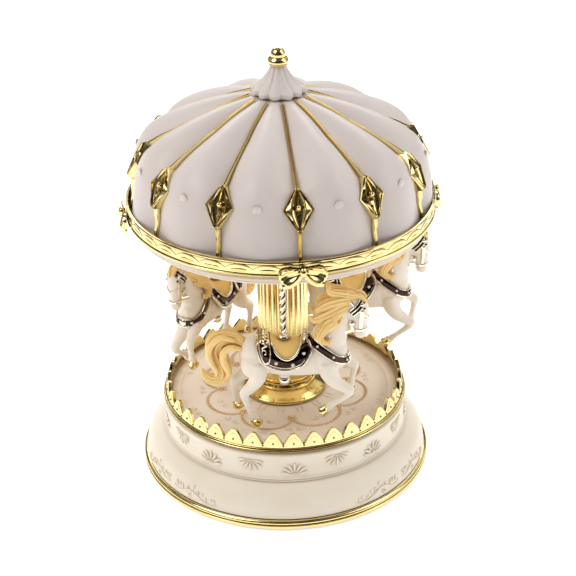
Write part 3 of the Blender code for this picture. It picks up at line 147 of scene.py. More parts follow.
def smooth_path(points, steps=6):
    """Catmull-Rom curve through the points; every value of a point is carried along."""
    count = len(points)
    path = []
    for i in range(count - 1):
        p0 = points[max(i - 1, 0)]
        p1 = points[i]
        p2 = points[i + 1]
        p3 = points[min(i + 2, count - 1)]
        for step in range(steps):
            t = step / steps
            path.append(tuple(
                0.5 * (2.0 * b + (c - a) * t + (2.0 * a - 5.0 * b + 4.0 * c - d) * t ** 2
                       + (3.0 * b - a - 3.0 * c + d) * t ** 3)
                for a, b, c, d in zip(p0, p1, p2, p3)
            ))
    path.append(tuple(points[-1]))
    return path


def lookup(table, key):
    """Straight-line reading of a table of (key, value) pairs with rising keys."""
    for (low, start), (high, end) in zip(table, table[1:]):
        if key <= high:
            share = max(0.0, min(1.0, (key - low) / (high - low)))
            return start + (end - start) * share
    return table[-1][1]


def arc_points(centre, radius, start, end, steps):
    """Points of a flat arc, angles in degrees from the first axis."""
    points = []
    for step in range(steps + 1):
        turn = math.radians(start + (end - start) * step / steps)
        points.append((centre[0] + radius * math.cos(turn), centre[1] + radius * math.sin(turn)))
    return points


def spiral(centre, start_r, end_r, start, end, steps=14):
    """Flat curl whose radius runs from start_r to end_r."""
    points = []
    for step in range(steps + 1):
        share = step / steps
        turn = math.radians(start + (end - start) * share)
        radius = start_r + (end_r - start_r) * share
        points.append((centre[0] + radius * math.cos(turn), centre[1] + radius * math.sin(turn)))
    return points


def loft(bm, loops, closed=False):
    """Skins a row of closed loops; the ends are capped unless the row itself is closed."""
    rings = [[bm.verts.new(point) for point in loop] for loop in loops]
    count = len(rings[0])
    last = len(rings) if closed else len(rings) - 1
    for level in range(last):
        here = rings[level]
        there = rings[(level + 1) % len(rings)]
        for i in range(count):
            j = (i + 1) % count
            bm.faces.new((here[i], here[j], there[j], there[i]))
    if not closed:
        bm.faces.new(rings[0])
        bm.faces.new(rings[-1])


def revolve(bm, profile, segments=ROUND, shape=None):
    """Spins a closed outline of (radius, height).

    shape(azimuth, index, radius, height) may give each point another radius and height.
    """
    loops = []
    for step in range(segments):
        azimuth = 360.0 * step / segments
        loop = []
        for index, (radius, height) in enumerate(profile):
            if shape:
                radius, height = shape(azimuth, index, radius, height)
            loop.append(polar(radius, azimuth, height))
        loops.append(loop)
    loft(bm, loops, closed=True)


def torus(bm, radius, height, thick, tall=None, segments=ROUND, sides=10):
    """Round moulding running all the way round."""
    tall = tall or thick
    section = [(radius + thick * math.cos(turn), height + tall * math.sin(turn))
               for turn in around(sides)]
    revolve(bm, section, segments)


def tube(bm, stations, sides=20, groove=0.0, grooves=0):
    """Closed limb through (x, y, z, side radius, plane radius); grooves run along its length."""
    loops = []
    last = len(stations) - 1
    for i, (x, y, z, side_r, plane_r) in enumerate(stations):
        before = stations[max(i - 1, 0)]
        after = stations[min(i + 1, last)]
        along = Vector([end - start for start, end in zip(before[:3], after[:3])]).normalized()
        lateral = (LEFT - along * along.y).normalized()
        rise = along.cross(lateral)
        loop = []
        for turn in around(sides):
            dip = 1.0
            if grooves:
                dip = 1.0 - groove * (1.0 - abs(math.sin(0.5 * grooves * turn)))
            offset = lateral * math.cos(turn) * side_r + rise * math.sin(turn) * plane_r
            loop.append(Vector((x, y, z)) + offset * dip)
        loops.append(loop)
    loft(bm, loops)


def round_stations(points):
    """Stations of a limb that is round all along."""
    return [(x, y, z, radius, radius) for x, y, z, radius in points]


def flat_stations(points):
    """Stations of a limb in the middle plane."""
    return [(x, 0.0, z, side_r, plane_r) for x, z, side_r, plane_r in points]


def ball(bm, centre, radius, squash=(1.0, 1.0, 1.0), turn=None, detail=2):
    """Round bead; squash flattens it along its own axes, which turn may swing round."""
    place = Matrix.Translation(centre) @ (turn.to_4x4() if turn else Matrix.Identity(4))
    place = place @ Matrix.Diagonal((*squash, 1.0))
    bmesh.ops.create_icosphere(bm, subdivisions=detail, radius=radius, matrix=place)


def stroke(bm, path, width, rise, place, sides=6, sink=0.25):
    """Half-round bead drawn along a flat path; place(a, b, lift) puts it on a surface."""
    loops = []
    for i, middle in enumerate(path):
        along = heading(path, i)
        side = Vector((-along.y, along.x))
        share = i / (len(path) - 1)
        half = max(LEAST_WIDTH, value(width, share))
        high = max(LEAST_RISE, value(rise, share))
        loop = []
        for step in range(sides + 1):
            turn = math.pi * step / sides
            reach = side * half * math.cos(turn)
            loop.append(place(middle[0] + reach.x, middle[1] + reach.y, high * math.sin(turn)))
        loop.append(place(middle[0] - side.x * half, middle[1] - side.y * half, -sink))
        loop.append(place(middle[0] + side.x * half, middle[1] + side.y * half, -sink))
        loops.append(loop)
    loft(bm, loops)


def leaf(most, power=0.8):
    """Width or height that swells in the middle and runs out at both ends."""
    return lambda share: most * math.sin(math.pi * min(1.0, max(0.0, share))) ** power


def drop(most):
    """Swells toward the far end, like a petal."""
    return lambda share: most * math.sin(math.pi * share ** 1.7) ** 0.7 if 0.0 < share < 1.0 else 0.0


def grid_plate(bm, top, under):
    """Joins two equal grids of points into one closed plate."""
    rows = len(top)
    columns = len(top[0])
    upper = [[bm.verts.new(point) for point in row] for row in top]
    lower = [[bm.verts.new(point) for point in row] for row in under]
    for i in range(rows - 1):
        for j in range(columns - 1):
            bm.faces.new((upper[i][j], upper[i + 1][j], upper[i + 1][j + 1], upper[i][j + 1]))
            bm.faces.new((lower[i][j], lower[i][j + 1], lower[i + 1][j + 1], lower[i + 1][j]))
    for i in range(rows - 1):
        bm.faces.new((upper[i][0], lower[i][0], lower[i + 1][0], upper[i + 1][0]))
        bm.faces.new((upper[i][-1], upper[i + 1][-1], lower[i + 1][-1], lower[i][-1]))
    for j in range(columns - 1):
        bm.faces.new((upper[0][j], upper[0][j + 1], lower[0][j + 1], lower[0][j]))
        bm.faces.new((upper[-1][j], lower[-1][j], lower[-1][j + 1], upper[-1][j + 1]))


def sheet(bm, rows, columns, both_points):
    """Closed plate; both_points(row, column) gives an upper point and the one under it."""
    grid = [[both_points(i, j) for j in range(columns)] for i in range(rows)]
    top = [[upper for upper, _lower in row] for row in grid]
    under = [[lower for _upper, lower in row] for row in grid]
    grid_plate(bm, top, under)


def scale(bm, factor):
    bmesh.ops.transform(bm, matrix=Matrix.Scale(factor, 4), verts=bm.verts)


def reopen(mesh):
    bm = bmesh.new()
    bm.from_mesh(mesh)
    return bm


def put_in_scene(bm, name):
    """Hands a bmesh over to a new object."""
    mesh = bpy.data.meshes.new(name)
    bm.to_mesh(mesh)
    bm.free()
    made = bpy.data.objects.new(name, mesh)
    bpy.context.scene.collection.objects.link(made)
    return made


def fix_shape(target):
    """Applies every modifier."""
    graph = bpy.context.evaluated_depsgraph_get()
    mesh = bpy.data.meshes.new_from_object(target.evaluated_get(graph))
    target.modifiers.clear()
    target.data = mesh


def drill(target, centre, radius, depth, segments):
    """Opens an upright round hole; centre, radius and depth in millimetres."""
    bm = bmesh.new()
    bmesh.ops.create_cone(bm, cap_ends=True, segments=segments, radius1=radius, radius2=radius,
                          depth=depth, matrix=Matrix.Translation(centre))
    scale(bm, MM)
    tool = put_in_scene(bm, "drill")
    step = target.modifiers.new("drill", "BOOLEAN")
    step.operation = "DIFFERENCE"
    step.object = tool
    fix_shape(target)
    bpy.data.objects.remove(tool, do_unlink=True)


SHARP = math.radians(38.0)


def piece(name, bm, look, node, stands_for=(), place=None):
    """Turns a bmesh in millimetres into a named piece that rides with the body of a CAD node."""
    if place:
        bmesh.ops.transform(bm, matrix=place, verts=bm.verts)
    scale(bm, MM)
    bmesh.ops.recalc_face_normals(bm, faces=bm.faces)
    for face in bm.faces:
        face.smooth = True
    for edge in bm.edges:
        if len(edge.link_faces) == 2 and edge.calc_face_angle() > SHARP:
            edge.smooth = False
    made = put_in_scene(bm, name)
    made.data.materials.append(look)
    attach(made, BODY_OF[node])
    if stands_for:
        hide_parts(*stands_for)
    return made


# ---- materials ----------------------------------------------------------------------------
WHITE_LIGHT = (1.0, 1.0, 1.0)
NOISE_LOW = 0.3
NOISE_HIGH = 0.7


def start_look(name):
    made = bpy.data.materials.new(name)
    made.use_nodes = True
    tree = made.node_tree
    return made, tree, tree.nodes["Principled BSDF"]


def add_node(tree, kind, values=None, **settings):
    made = tree.nodes.new(kind)
    for key, setting in settings.items():
        setattr(made, key, setting)
    for key, number in (values or {}).items():
        made.inputs[key].default_value = number
    return made


def noise(tree, scale, detail=3.0):
    """Fractal noise in the object's own space, so that it stays put when the piece moves."""
    coords = add_node(tree, "ShaderNodeTexCoord")
    made = add_node(tree, "ShaderNodeTexNoise", {"Scale": scale, "Detail": detail})
    tree.links.new(coords.outputs["Object"], made.inputs["Vector"])
    return made.outputs["Fac"]


def ramp(tree, source, stops):
    made = add_node(tree, "ShaderNodeValToRGB")
    points = made.color_ramp.elements
    while len(points) < len(stops):
        points.new(0.5)
    for point, (place, colour) in zip(points, stops):
        point.position = place
        point.color = (*colour, 1.0)
    tree.links.new(source, made.inputs["Fac"])
    return made.outputs["Color"]


def map_range(tree, source, start, end, low, high):
    """Reads start to end as low to high."""
    made = add_node(tree, "ShaderNodeMapRange",
                    {"From Min": start, "From Max": end, "To Min": low, "To Max": high})
    tree.links.new(source, made.inputs["Value"])
    return made.outputs["Result"]


def cloudy(tree, scale, low, high):
    """Noise spread over low to high."""
    return map_range(tree, noise(tree, scale), NOISE_LOW, NOISE_HIGH, low, high)


def blend_colours(tree, factor, first, second):
    made = add_node(tree, "ShaderNodeMix", data_type="RGBA")
    for socket, given in ((made.inputs[6], first), (made.inputs[7], second)):
        if isinstance(given, tuple):
            socket.default_value = (*given, 1.0)
        else:
            tree.links.new(given, socket)
    tree.links.new(factor, made.inputs[0])
    return made.outputs[2]


def bump(tree, source, strength, distance, below=None):
    made = add_node(tree, "ShaderNodeBump", {"Strength": strength, "Distance": distance})
    tree.links.new(source, made.inputs["Height"])
    if below:
        tree.links.new(below, made.inputs["Normal"])
    return made.outputs["Normal"]


def painted_shade_in_hollows(tree, reach, low=0.35, high=0.95):
    """Ambient-occlusion mask for painted shade: 0 in the open and 1 deep in a hollow."""
    made = add_node(tree, "ShaderNodeAmbientOcclusion", {"Distance": reach}, samples=6)
    return map_range(tree, made.outputs["AO"], low, high, 1.0, 0.0)


def moulded_bump(tree, shader, coarse, fine):
    """Slow waves with a fine grain over them, each as (scale, strength, distance)."""
    waves = bump(tree, noise(tree, coarse[0], 2.0), *coarse[1:])
    grain = bump(tree, noise(tree, fine[0], 2.0), *fine[1:], waves)
    tree.links.new(grain, shader.inputs["Normal"])


def plastic(name, colour, cloud, hollow, rough=0.42, reach=0.0016, glow=0.06):
    """Satin moulding: cloudy colour, painted shade in the hollows, fine moulding grain."""
    made, tree, shader = start_look(name)
    mottled = blend_colours(tree, cloudy(tree, 90.0, 0.0, 1.0), colour, cloud)
    # painted shade: the hollow colour is mixed in where ambient occlusion finds a hollow
    with_painted_shade = blend_colours(tree, painted_shade_in_hollows(tree, reach), mottled, hollow)
    tree.links.new(with_painted_shade, shader.inputs["Base Color"])
    tree.links.new(cloudy(tree, 240.0, rough - 0.05, rough + 0.08), shader.inputs["Roughness"])
    moulded_bump(tree, shader, (160.0, 0.10, 0.0003), (2600.0, 0.12, 0.00004))
    shader.inputs["Subsurface Weight"].default_value = glow
    shader.inputs["Subsurface Radius"].default_value = (0.0012, 0.0007, 0.0004)
    shader.inputs["IOR"].default_value = 1.46
    return made


def plating(name, colour, cloud, hollow, rough=0.12, reach=0.0012, wave=0.22):
    """Vacuum plating: bright metal over a slightly wavy moulding, with painted shade in the hollows."""
    made, tree, shader = start_look(name)
    mottled = blend_colours(tree, cloudy(tree, 130.0, 0.0, 1.0), colour, cloud)
    # painted shade: the hollow colour is mixed in where ambient occlusion finds a hollow
    with_painted_shade = blend_colours(tree, painted_shade_in_hollows(tree, reach, 0.2, 0.8), mottled, hollow)
    tree.links.new(with_painted_shade, shader.inputs["Base Color"])
    tree.links.new(cloudy(tree, 700.0, rough - 0.03, rough + 0.07), shader.inputs["Roughness"])
    moulded_bump(tree, shader, (210.0, wave, 0.0004), (3200.0, 0.05, 0.00003))
    shader.inputs["Metallic"].default_value = 1.0
    return made


# the third colour of each look is painted shade, mixed in where the surface lies in a hollow
CREAM = plastic("cream_moulding", (0.90, 0.82, 0.69), (0.88, 0.79, 0.65), (0.60, 0.47, 0.34))
SOFFIT_CREAM = plastic("soffit_cream", (0.82, 0.71, 0.62), (0.80, 0.68, 0.58), (0.56, 0.42, 0.31))
# the deck's cream is darker than the base's cream: painted shade from the canopy over it
SHADED_DECK_CREAM = plastic("deck_cream_in_painted_shade", (0.84, 0.74, 0.62), (0.81, 0.69, 0.56), (0.52, 0.38, 0.27))
CANOPY = plastic("canopy_satin", (0.73, 0.655, 0.625), (0.71, 0.63, 0.60), (0.54, 0.45, 0.40),
                 rough=0.34, reach=0.0009)
HORSE = plastic("horse_cream", (0.92, 0.84, 0.73), (0.90, 0.80, 0.68), (0.72, 0.58, 0.42), rough=0.45,
                glow=0.18)
OCHRE = plastic("ochre_paint", (0.97, 0.67, 0.24), (0.97, 0.73, 0.33), (0.70, 0.36, 0.08), rough=0.5)
SEAT = plastic("seat_paint", (0.96, 0.65, 0.20), (0.97, 0.69, 0.25), (0.34, 0.17, 0.05), rough=0.45)
ROPE = plastic("rope_paint", (0.86, 0.59, 0.29), (0.90, 0.65, 0.36), (0.52, 0.28, 0.11), rough=0.5,
               reach=0.0006)
PEARL = plastic("pearl_lacquer", (0.92, 0.88, 0.82), (0.86, 0.80, 0.73), (0.60, 0.50, 0.42), rough=0.2)
DARK = plastic("dark_enamel", (0.035, 0.016, 0.012), (0.06, 0.028, 0.02), (0.01, 0.005, 0.004),
               rough=0.16, glow=0.0)
WHITE = plastic("white_acetal", (0.84, 0.83, 0.80), (0.80, 0.79, 0.76), (0.5, 0.48, 0.44), rough=0.4)
RUBBER = plastic("black_rubber", (0.03, 0.03, 0.03), (0.045, 0.045, 0.045), (0.01, 0.01, 0.01),
                 rough=0.8, glow=0.0)
GOLD = plating("gold_plate", (0.90, 0.76, 0.38), (0.87, 0.72, 0.33), (0.34, 0.22, 0.06), wave=0.06)
DEEP_GOLD = plating("deep_gold_plate", (0.87, 0.68, 0.25), (0.83, 0.63, 0.22), (0.32, 0.16, 0.03),
                    wave=0.05)
SILVER = plating("champagne_plate", (0.88, 0.82, 0.68), (0.84, 0.77, 0.62), (0.20, 0.12, 0.08),
                 rough=0.1)
# near-black plating: painted dark reflection of polished silver on the saddle flaps, cheek plates and breast
# straps
DARK_REFLECTION_PLATE = plating("painted_dark_reflection_plate", (0.022, 0.012, 0.010), (0.075, 0.047, 0.037), (0.02, 0.01, 0.008),
                  rough=0.06, wave=0.08)
GLITTER = plating("glitter_plate", (0.95, 0.86, 0.60), (0.92, 0.79, 0.48), (0.42, 0.28, 0.12),
                  rough=0.16, wave=0.6, reach=0.0006)
PALE_GOLD = plating("pale_gold_plate", (0.98, 0.86, 0.46), (0.96, 0.83, 0.41), (0.82, 0.64, 0.28),
                    rough=0.2, wave=0.04)
SHADE_GOLD = plating("shaded_gold_plate", (0.34, 0.21, 0.07), (0.44, 0.29, 0.11), (0.16, 0.08, 0.02),
                     rough=0.2)
STEEL = plating("bright_steel", (0.58, 0.58, 0.60), (0.54, 0.54, 0.56), (0.16, 0.16, 0.17), rough=0.26,
                wave=0.05)
BRASS = plating("turned_brass", (0.78, 0.58, 0.27), (0.74, 0.54, 0.24), (0.26, 0.16, 0.06), rough=0.24,
                wave=0.05)
ZINC = plating("zinc_casting", (0.46, 0.46, 0.47), (0.40, 0.40, 0.41), (0.15, 0.15, 0.15), rough=0.45,
               wave=0.5)


def paint_shade_low(made, colour, low, high):
    """Paints shade into the colour: darker from one height down to another."""
    tree = made.node_tree
    socket = tree.nodes["Principled BSDF"].inputs["Base Color"]
    where = add_node(tree, "ShaderNodeNewGeometry")
    split = add_node(tree, "ShaderNodeSeparateXYZ")
    tree.links.new(where.outputs["Position"], split.inputs["Vector"])
    share = map_range(tree, split.outputs["Z"], low, high, 1.0, 0.0)
    tree.links.new(blend_colours(tree, share, socket.links[0].from_socket, colour), socket)


# painted shade: the canopy paint darker toward its rim, standing in for the shade on its lower part
paint_shade_low(CANOPY, (0.57, 0.50, 0.465), (DOME_BASE + 2.0) * MM, (DOME_BASE + 24.0) * MM)
SLOT_LOOKS = {
    "cream_plastic": CREAM, "canopy_plastic": CANOPY, "gold_plating": GOLD, "silver_plating": SILVER,
    "horse_plastic": HORSE, "white_plastic": WHITE, "steel": STEEL, "brass": BRASS, "casting": ZINC,
    "rubber": RUBBER,
}


def dress_frame():
    """Gives every CAD node that stays in view the finish of its slot."""
    for name, item in frame["nodes"].items():
        item.data.materials.clear()
        item.data.materials.append(SLOT_LOOKS[SLOT_OF[name]])


# ---- base ---------------------------------------------------------------------------------
# inset from the widest radius and rise over the lower edge of the flare
FLARE = ((0.0, 0.0), (0.15, 1.6), (0.5, 3.6), (1.9, 6.9), (3.9, 9.2), (5.9, 10.8), (7.2, 11.7))
DRUM_INSET = 7.9
DRUM_START = 13.2
DRUM_END = 22.2
SHELL_TOP = SHELL_HIGH.z - SHELL_LOW.z
PALMETTES = 18
PALMETTE_PHASE = 3.8


DRUM_R = SHELL_R - DRUM_INSET
DRUM_BAND = ((DRUM_START, 0.35), (14.4, 0.1), (17.4, -0.12), (20.2, 0.05), (DRUM_END - 0.4, 0.35),
             (DRUM_END + 0.4, 0.15), (SHELL_TOP, -0.9))
DRUM_STEP = ((11.95, 1.25), (12.1, 1.1), (12.2, 0.75), (12.35, 0.62), (12.6, 0.85), (12.85, 0.85),
             (13.05, 0.6))
PETALS = 7
PETAL_SPREAD = 26.0
SPRAY_AZIMUTHS = (52.0, 128.0, 232.0, 308.0)
SPRAY_STEM = ((0.4, 2.3), (3.0, 1.4), (6.0, 1.9), (9.0, 3.0), (12.5, 2.6), (15.5, 1.4), (18.5, 0.8),
              (21.5, 1.0), (23.5, 2.1))
# each curl as centre, radius, end radius, start angle, end angle
SPRAY_CURLS = (
    ((2.2, 3.3), 1.1, 0.2, -150.0, 210.0), ((5.4, 3.1), 0.9, 0.2, -90.0, 240.0),
    ((9.4, 1.7), 1.0, 0.2, 90.0, -220.0), ((13.4, 3.3), 0.8, 0.15, -100.0, 190.0),
    ((17.2, 2.0), 0.8, 0.15, -90.0, 200.0), ((21.0, 2.2), 0.7, 0.15, -90.0, 180.0),
)
# each leaf as along, up, lean in degrees
SPRAY_LEAVES = ((3.8, 2.4, 70.0), (7.6, 2.9, 50.0), (11.2, 3.6, 80.0), (15.2, 2.3, 60.0),
                (19.4, 1.5, 65.0))
GRIP_TEETH = 60


def shell_curve():
    """Outside of the base from the gold ring to the lip, as (rise, radius)."""
    flare = [(rise, SHELL_R - inset) for inset, rise in smooth_path(FLARE, 5)]
    band = smooth_path([(rise, DRUM_R + proud) for rise, proud in DRUM_BAND], 4)
    step = [(rise, DRUM_R + proud) for rise, proud in DRUM_STEP]
    return flare + step + band


SHELL_TABLE = shell_curve()
SLOPE_STEP = 0.3


def on_shell(azimuth, rise, lift):
    """Point over the outside of the base, raised by lift along the wall's normal."""
    radius = lookup(SHELL_TABLE, rise)
    above = lookup(SHELL_TABLE, rise + SLOPE_STEP)
    slope = (above - lookup(SHELL_TABLE, rise - SLOPE_STEP)) / (2.0 * SLOPE_STEP)
    out = Vector((1.0, -slope)).normalized()
    return polar(radius + lift * out.x, azimuth, SHELL_FOOT + rise + lift * out.y)


def shell_patch(azimuth, rise, radius, flip=1.0):
    """Flat millimetre coordinates centred on a spot of the base wall."""
    turn = math.degrees(1.0 / radius)
    return lambda a, b, lift: on_shell(azimuth + a * turn, rise + b * flip, lift)


def palmette(bm, place):
    """Carved shell: seven petals fanned round a small boss."""
    boss = 0.9
    for number in range(PETALS):
        from_middle = number - PETALS // 2
        angle = math.radians(90.0 + from_middle * PETAL_SPREAD)
        reach = 5.0 - 0.16 * abs(from_middle) ** 1.5
        path = []
        for step in range(9):
            radius = boss + (reach - boss) * step / 8
            path.append((radius * math.cos(angle) * 1.25, radius * math.sin(angle) * 1.12))
        stroke(bm, path, leaf(0.62), leaf(0.75), place)
    stroke(bm, arc_points((0.0, 0.0), 0.7, 0.0, 180.0, 6), 0.25, 0.4, place)


def scroll_spray(bm, place):
    """Half of a low leafy scroll along the foot of the flare; a grows away from its middle."""
    stroke(bm, smooth_path(SPRAY_STEM, 4), leaf(0.48), leaf(0.5), place)
    for centre, start_r, end_r, start, end in SPRAY_CURLS:
        curl = spiral(centre, start_r * 1.15, end_r, start, end, 12)
        stroke(bm, curl, leaf(0.36), leaf(0.45), place, 5)
    for a, b, lean in SPRAY_LEAVES:
        turn = math.radians(lean)
        path = [(a + s * 0.4 * math.cos(turn), b + s * 0.4 * math.sin(turn)) for s in range(6)]
        stroke(bm, path, drop(0.42), drop(0.45), place, 5)


def base_pieces():
    bm = bmesh.new()
    outer = [(radius, SHELL_FOOT + rise) for rise, radius in SHELL_TABLE]
    inner_r = DECK_R + CLEAR
    wall_r = inner_r + 0.6
    ledge = DECK_LOW.z - CLEAR
    inner = [
        (inner_r, SHELL_HIGH.z), (inner_r, ledge), (inner_r - 2.0, ledge), (wall_r, SHELL_HIGH.z - 6.0),
        (wall_r, SHELL_FOOT + 11.0), (SHELL_R - 2.6, SHELL_FOOT + 4.0), (SHELL_R - 2.2, SHELL_FOOT),
    ]
    revolve(bm, outer + inner)
    for number in range(PALMETTES):
        azimuth = PALMETTE_PHASE + number * 360.0 / PALMETTES
        upright = number % 2 == 0
        palmette(bm, shell_patch(azimuth, 14.3 if upright else 20.4, DRUM_R, 1.0 if upright else -1.0))
    for middle in SPRAY_AZIMUTHS:
        for flip in (1.0, -1.0):
            turn = math.degrees(flip / SHELL_R)
            scroll_spray(bm, lambda a, b, lift, m=middle,
                         t=turn: on_shell(m + a * t, b * 1.1 + 0.2, lift))
    piece("base_flare_and_drum", bm, CREAM, "base_shell", ["base_shell"])

    bm = bmesh.new()
    low = RING_LOW.z
    high = RING_HIGH.z
    revolve(bm, (
        (BASE_R - 3.4, low), (BASE_R - 0.5, low), (BASE_R - 0.15, low + 0.25), (BASE_R, low + 0.65),
        (BASE_R - 0.05, low + 1.0), (BASE_R - 0.35, low + 1.3), (BASE_R - 0.75, high - 0.1),
        (BASE_R - 1.2, high),
        (BASE_R - 3.4, high),
    ))
    piece("foot_ring_bright", bm, GOLD, "foot_ring", ["foot_ring"])

    bm = bmesh.new()
    low = PLATE_LOW.z
    high = PLATE_HIGH.z
    revolve(bm, (
        (2.3, low + 0.5), (BASE_R - 5.0, low + 0.5), (BASE_R - 4.0, low), (BASE_R - 0.8, low),
        (BASE_R - 0.2, low + 0.3), (BASE_R, low + 0.75), (BASE_R - 0.1, high - 0.25),
        (BASE_R - 0.5, high), (2.3, high),
    ))
    for number in range(GRIP_TEETH):
        azimuth = number * 360.0 / GRIP_TEETH
        spot = polar(BASE_R - 0.75, azimuth, low + 0.8)
        place = Matrix.Translation(spot) @ rotation(azimuth).to_4x4()
        bmesh.ops.create_cube(bm, size=1.0, matrix=place @ Matrix.Diagonal((0.5, 1.2, 0.7, 1.0)))
    piece("winding_plate_bright", bm, GOLD, "winding_plate", ["winding_plate"])


# ---- deck ---------------------------------------------------------------------------------
FLOWERS = 8
FLOWER_PHASE = 6.2
FLOWER_R = 24.6
ROPE_BULGE = 7.6
ROPE_BEAD = 1.2


DECK_BORE = 2.2
MOTIF_CURL = spiral((1.4, 0.0), 1.2, 0.2, 180.0, -200.0)
MOTIF_STEM = smooth_path(((0.3, 0.2), (1.6, 1.6), (3.4, 1.3), (4.8, -0.2)), 4)


def on_deck(a, b, lift):
    return Vector((a, b, DECK_TOP + lift))


def rope_point(azimuth):
    """The rope swings out between each pair of flowers."""
    share = ((azimuth - FLOWER_PHASE) * FLOWERS / 360.0) % 1.0
    return polar(FLOWER_R + ROPE_BULGE * math.sin(math.pi * share) ** 0.55, azimuth, DECK_TOP)


def even_points(path, spacing):
    """Points an equal distance apart along a closed path."""
    points = []
    left = 0.0
    for here, there in zip(path, path[1:] + path[:1]):
        gap = (there - here).length
        while left < gap:
            points.append(here.lerp(there, left / gap))
            left += spacing
        left -= gap
    return points


def deck_motif(bm, azimuth, radius, size, flip):
    """Small pair of engraved C-scrolls lying on the deck."""
    turn = math.radians(azimuth)
    centre = polar(radius, azimuth, 0.0)
    across = Vector((math.cos(turn), math.sin(turn)))
    out = Vector((math.sin(turn), -math.cos(turn)))

    def place(a, b, lift):
        spot = Vector((centre.x, centre.y)) + across * a * flip + out * b
        return on_deck(spot.x, spot.y, lift)

    for path, width in ((MOTIF_CURL, 0.2), (MOTIF_STEM, 0.22)):
        stroke(bm, [(x * size, y * size) for x, y in path], leaf(width), leaf(0.2), place, 4)


def deck_pieces():
    bm = bmesh.new()
    revolve(bm, (
        (DECK_BORE, DECK_LOW.z), (DECK_R, DECK_LOW.z), (DECK_R, DECK_TOP - 0.15),
        (DECK_R - 0.2, DECK_TOP),
        (DECK_R - 3.2, DECK_TOP), (DECK_R - 3.4, DECK_TOP - 0.12), (DECK_R - 3.6, DECK_TOP),
        (34.0, DECK_TOP),
        (FOOT_R + 9.0, DECK_TOP), (FOOT_R + 1.0, DECK_TOP), (DECK_BORE, DECK_TOP),
    ))
    for number in range(FLOWERS * 2):
        azimuth = FLOWER_PHASE + (number + 0.5) * 180.0 / FLOWERS
        for offset in (-3.4, 3.4):
            start = polar(FOOT_R + 0.8, azimuth + offset, 0.0)
            end = polar(FOOT_R + 5.0, azimuth + offset * 0.8, 0.0)
            path = [tuple(start.lerp(end, s / 5))[:2] for s in range(6)]
            stroke(bm, path, leaf(0.22, 0.3), leaf(0.26, 0.3), on_deck, 4)
    for number in range(FLOWERS):
        azimuth = FLOWER_PHASE + (number + 0.5) * 360.0 / FLOWERS
        for flip in (1.0, -1.0):
            deck_motif(bm, azimuth, 37.6, 0.9, flip)
            deck_motif(bm, azimuth, 26.6, 0.8, flip)
            deck_motif(bm, azimuth + 22.5, 31.4, 0.8, flip)
    piece("deck_plate_engraved", bm, SHADED_DECK_CREAM, "deck_plate", ["deck_plate"])

    bm = bmesh.new()
    steps = 720
    path = [rope_point(360.0 * step / steps) for step in range(steps)]
    beads = even_points(path, ROPE_BEAD)
    for here, there in zip(beads, beads[1:] + beads[:1]):
        lean = math.atan2(there.y - here.y, there.x - here.x) + math.radians(60.0)
        ball(bm, here, 0.8, (1.1, 0.52, 0.6), Matrix.Rotation(lean, 3, "Z"), 1)
    for number in range(FLOWERS):
        azimuth = FLOWER_PHASE + number * 360.0 / FLOWERS
        centre = polar(FLOWER_R - 0.2, azimuth, DECK_TOP)
        ball(bm, centre + Vector((0.0, 0.0, 0.35)), 0.6, (1.0, 1.0, 0.7))
        for petal in range(5):
            turn = math.radians(azimuth + petal * 72.0)
            spot = centre + Vector((math.sin(turn), -math.cos(turn), 0.0)) * 1.15
            ball(bm, spot, 0.85, (0.72, 1.0, 0.55), Matrix.Rotation(turn, 3, "Z"))
    piece("deck_rope_and_flowers", bm, ROPE, "deck_plate")


# ---- pointed edging -------------------------------------------------------------------------
EDGE_VALLEY = 3.0
EDGE_WALL = 1.3
EDGE_LEAN = 1.1
EDGE_SAMPLES = 12
ARCH_FOOT = 1.9
PIT_R = 0.42


def edge_height(share):
    """Height of the edging over its foot across one point; share runs from 0 to 1."""
    peak = abs(2.0 * share - 1.0)
    return EDGE_VALLEY + (EDGE_RISE - EDGE_VALLEY) * (1.0 - max(0.0, 1.0 - 1.18 * peak) ** 1.2)


def edge_radius(height):
    return EDGE_R - EDGE_LEAN * height / EDGE_RISE


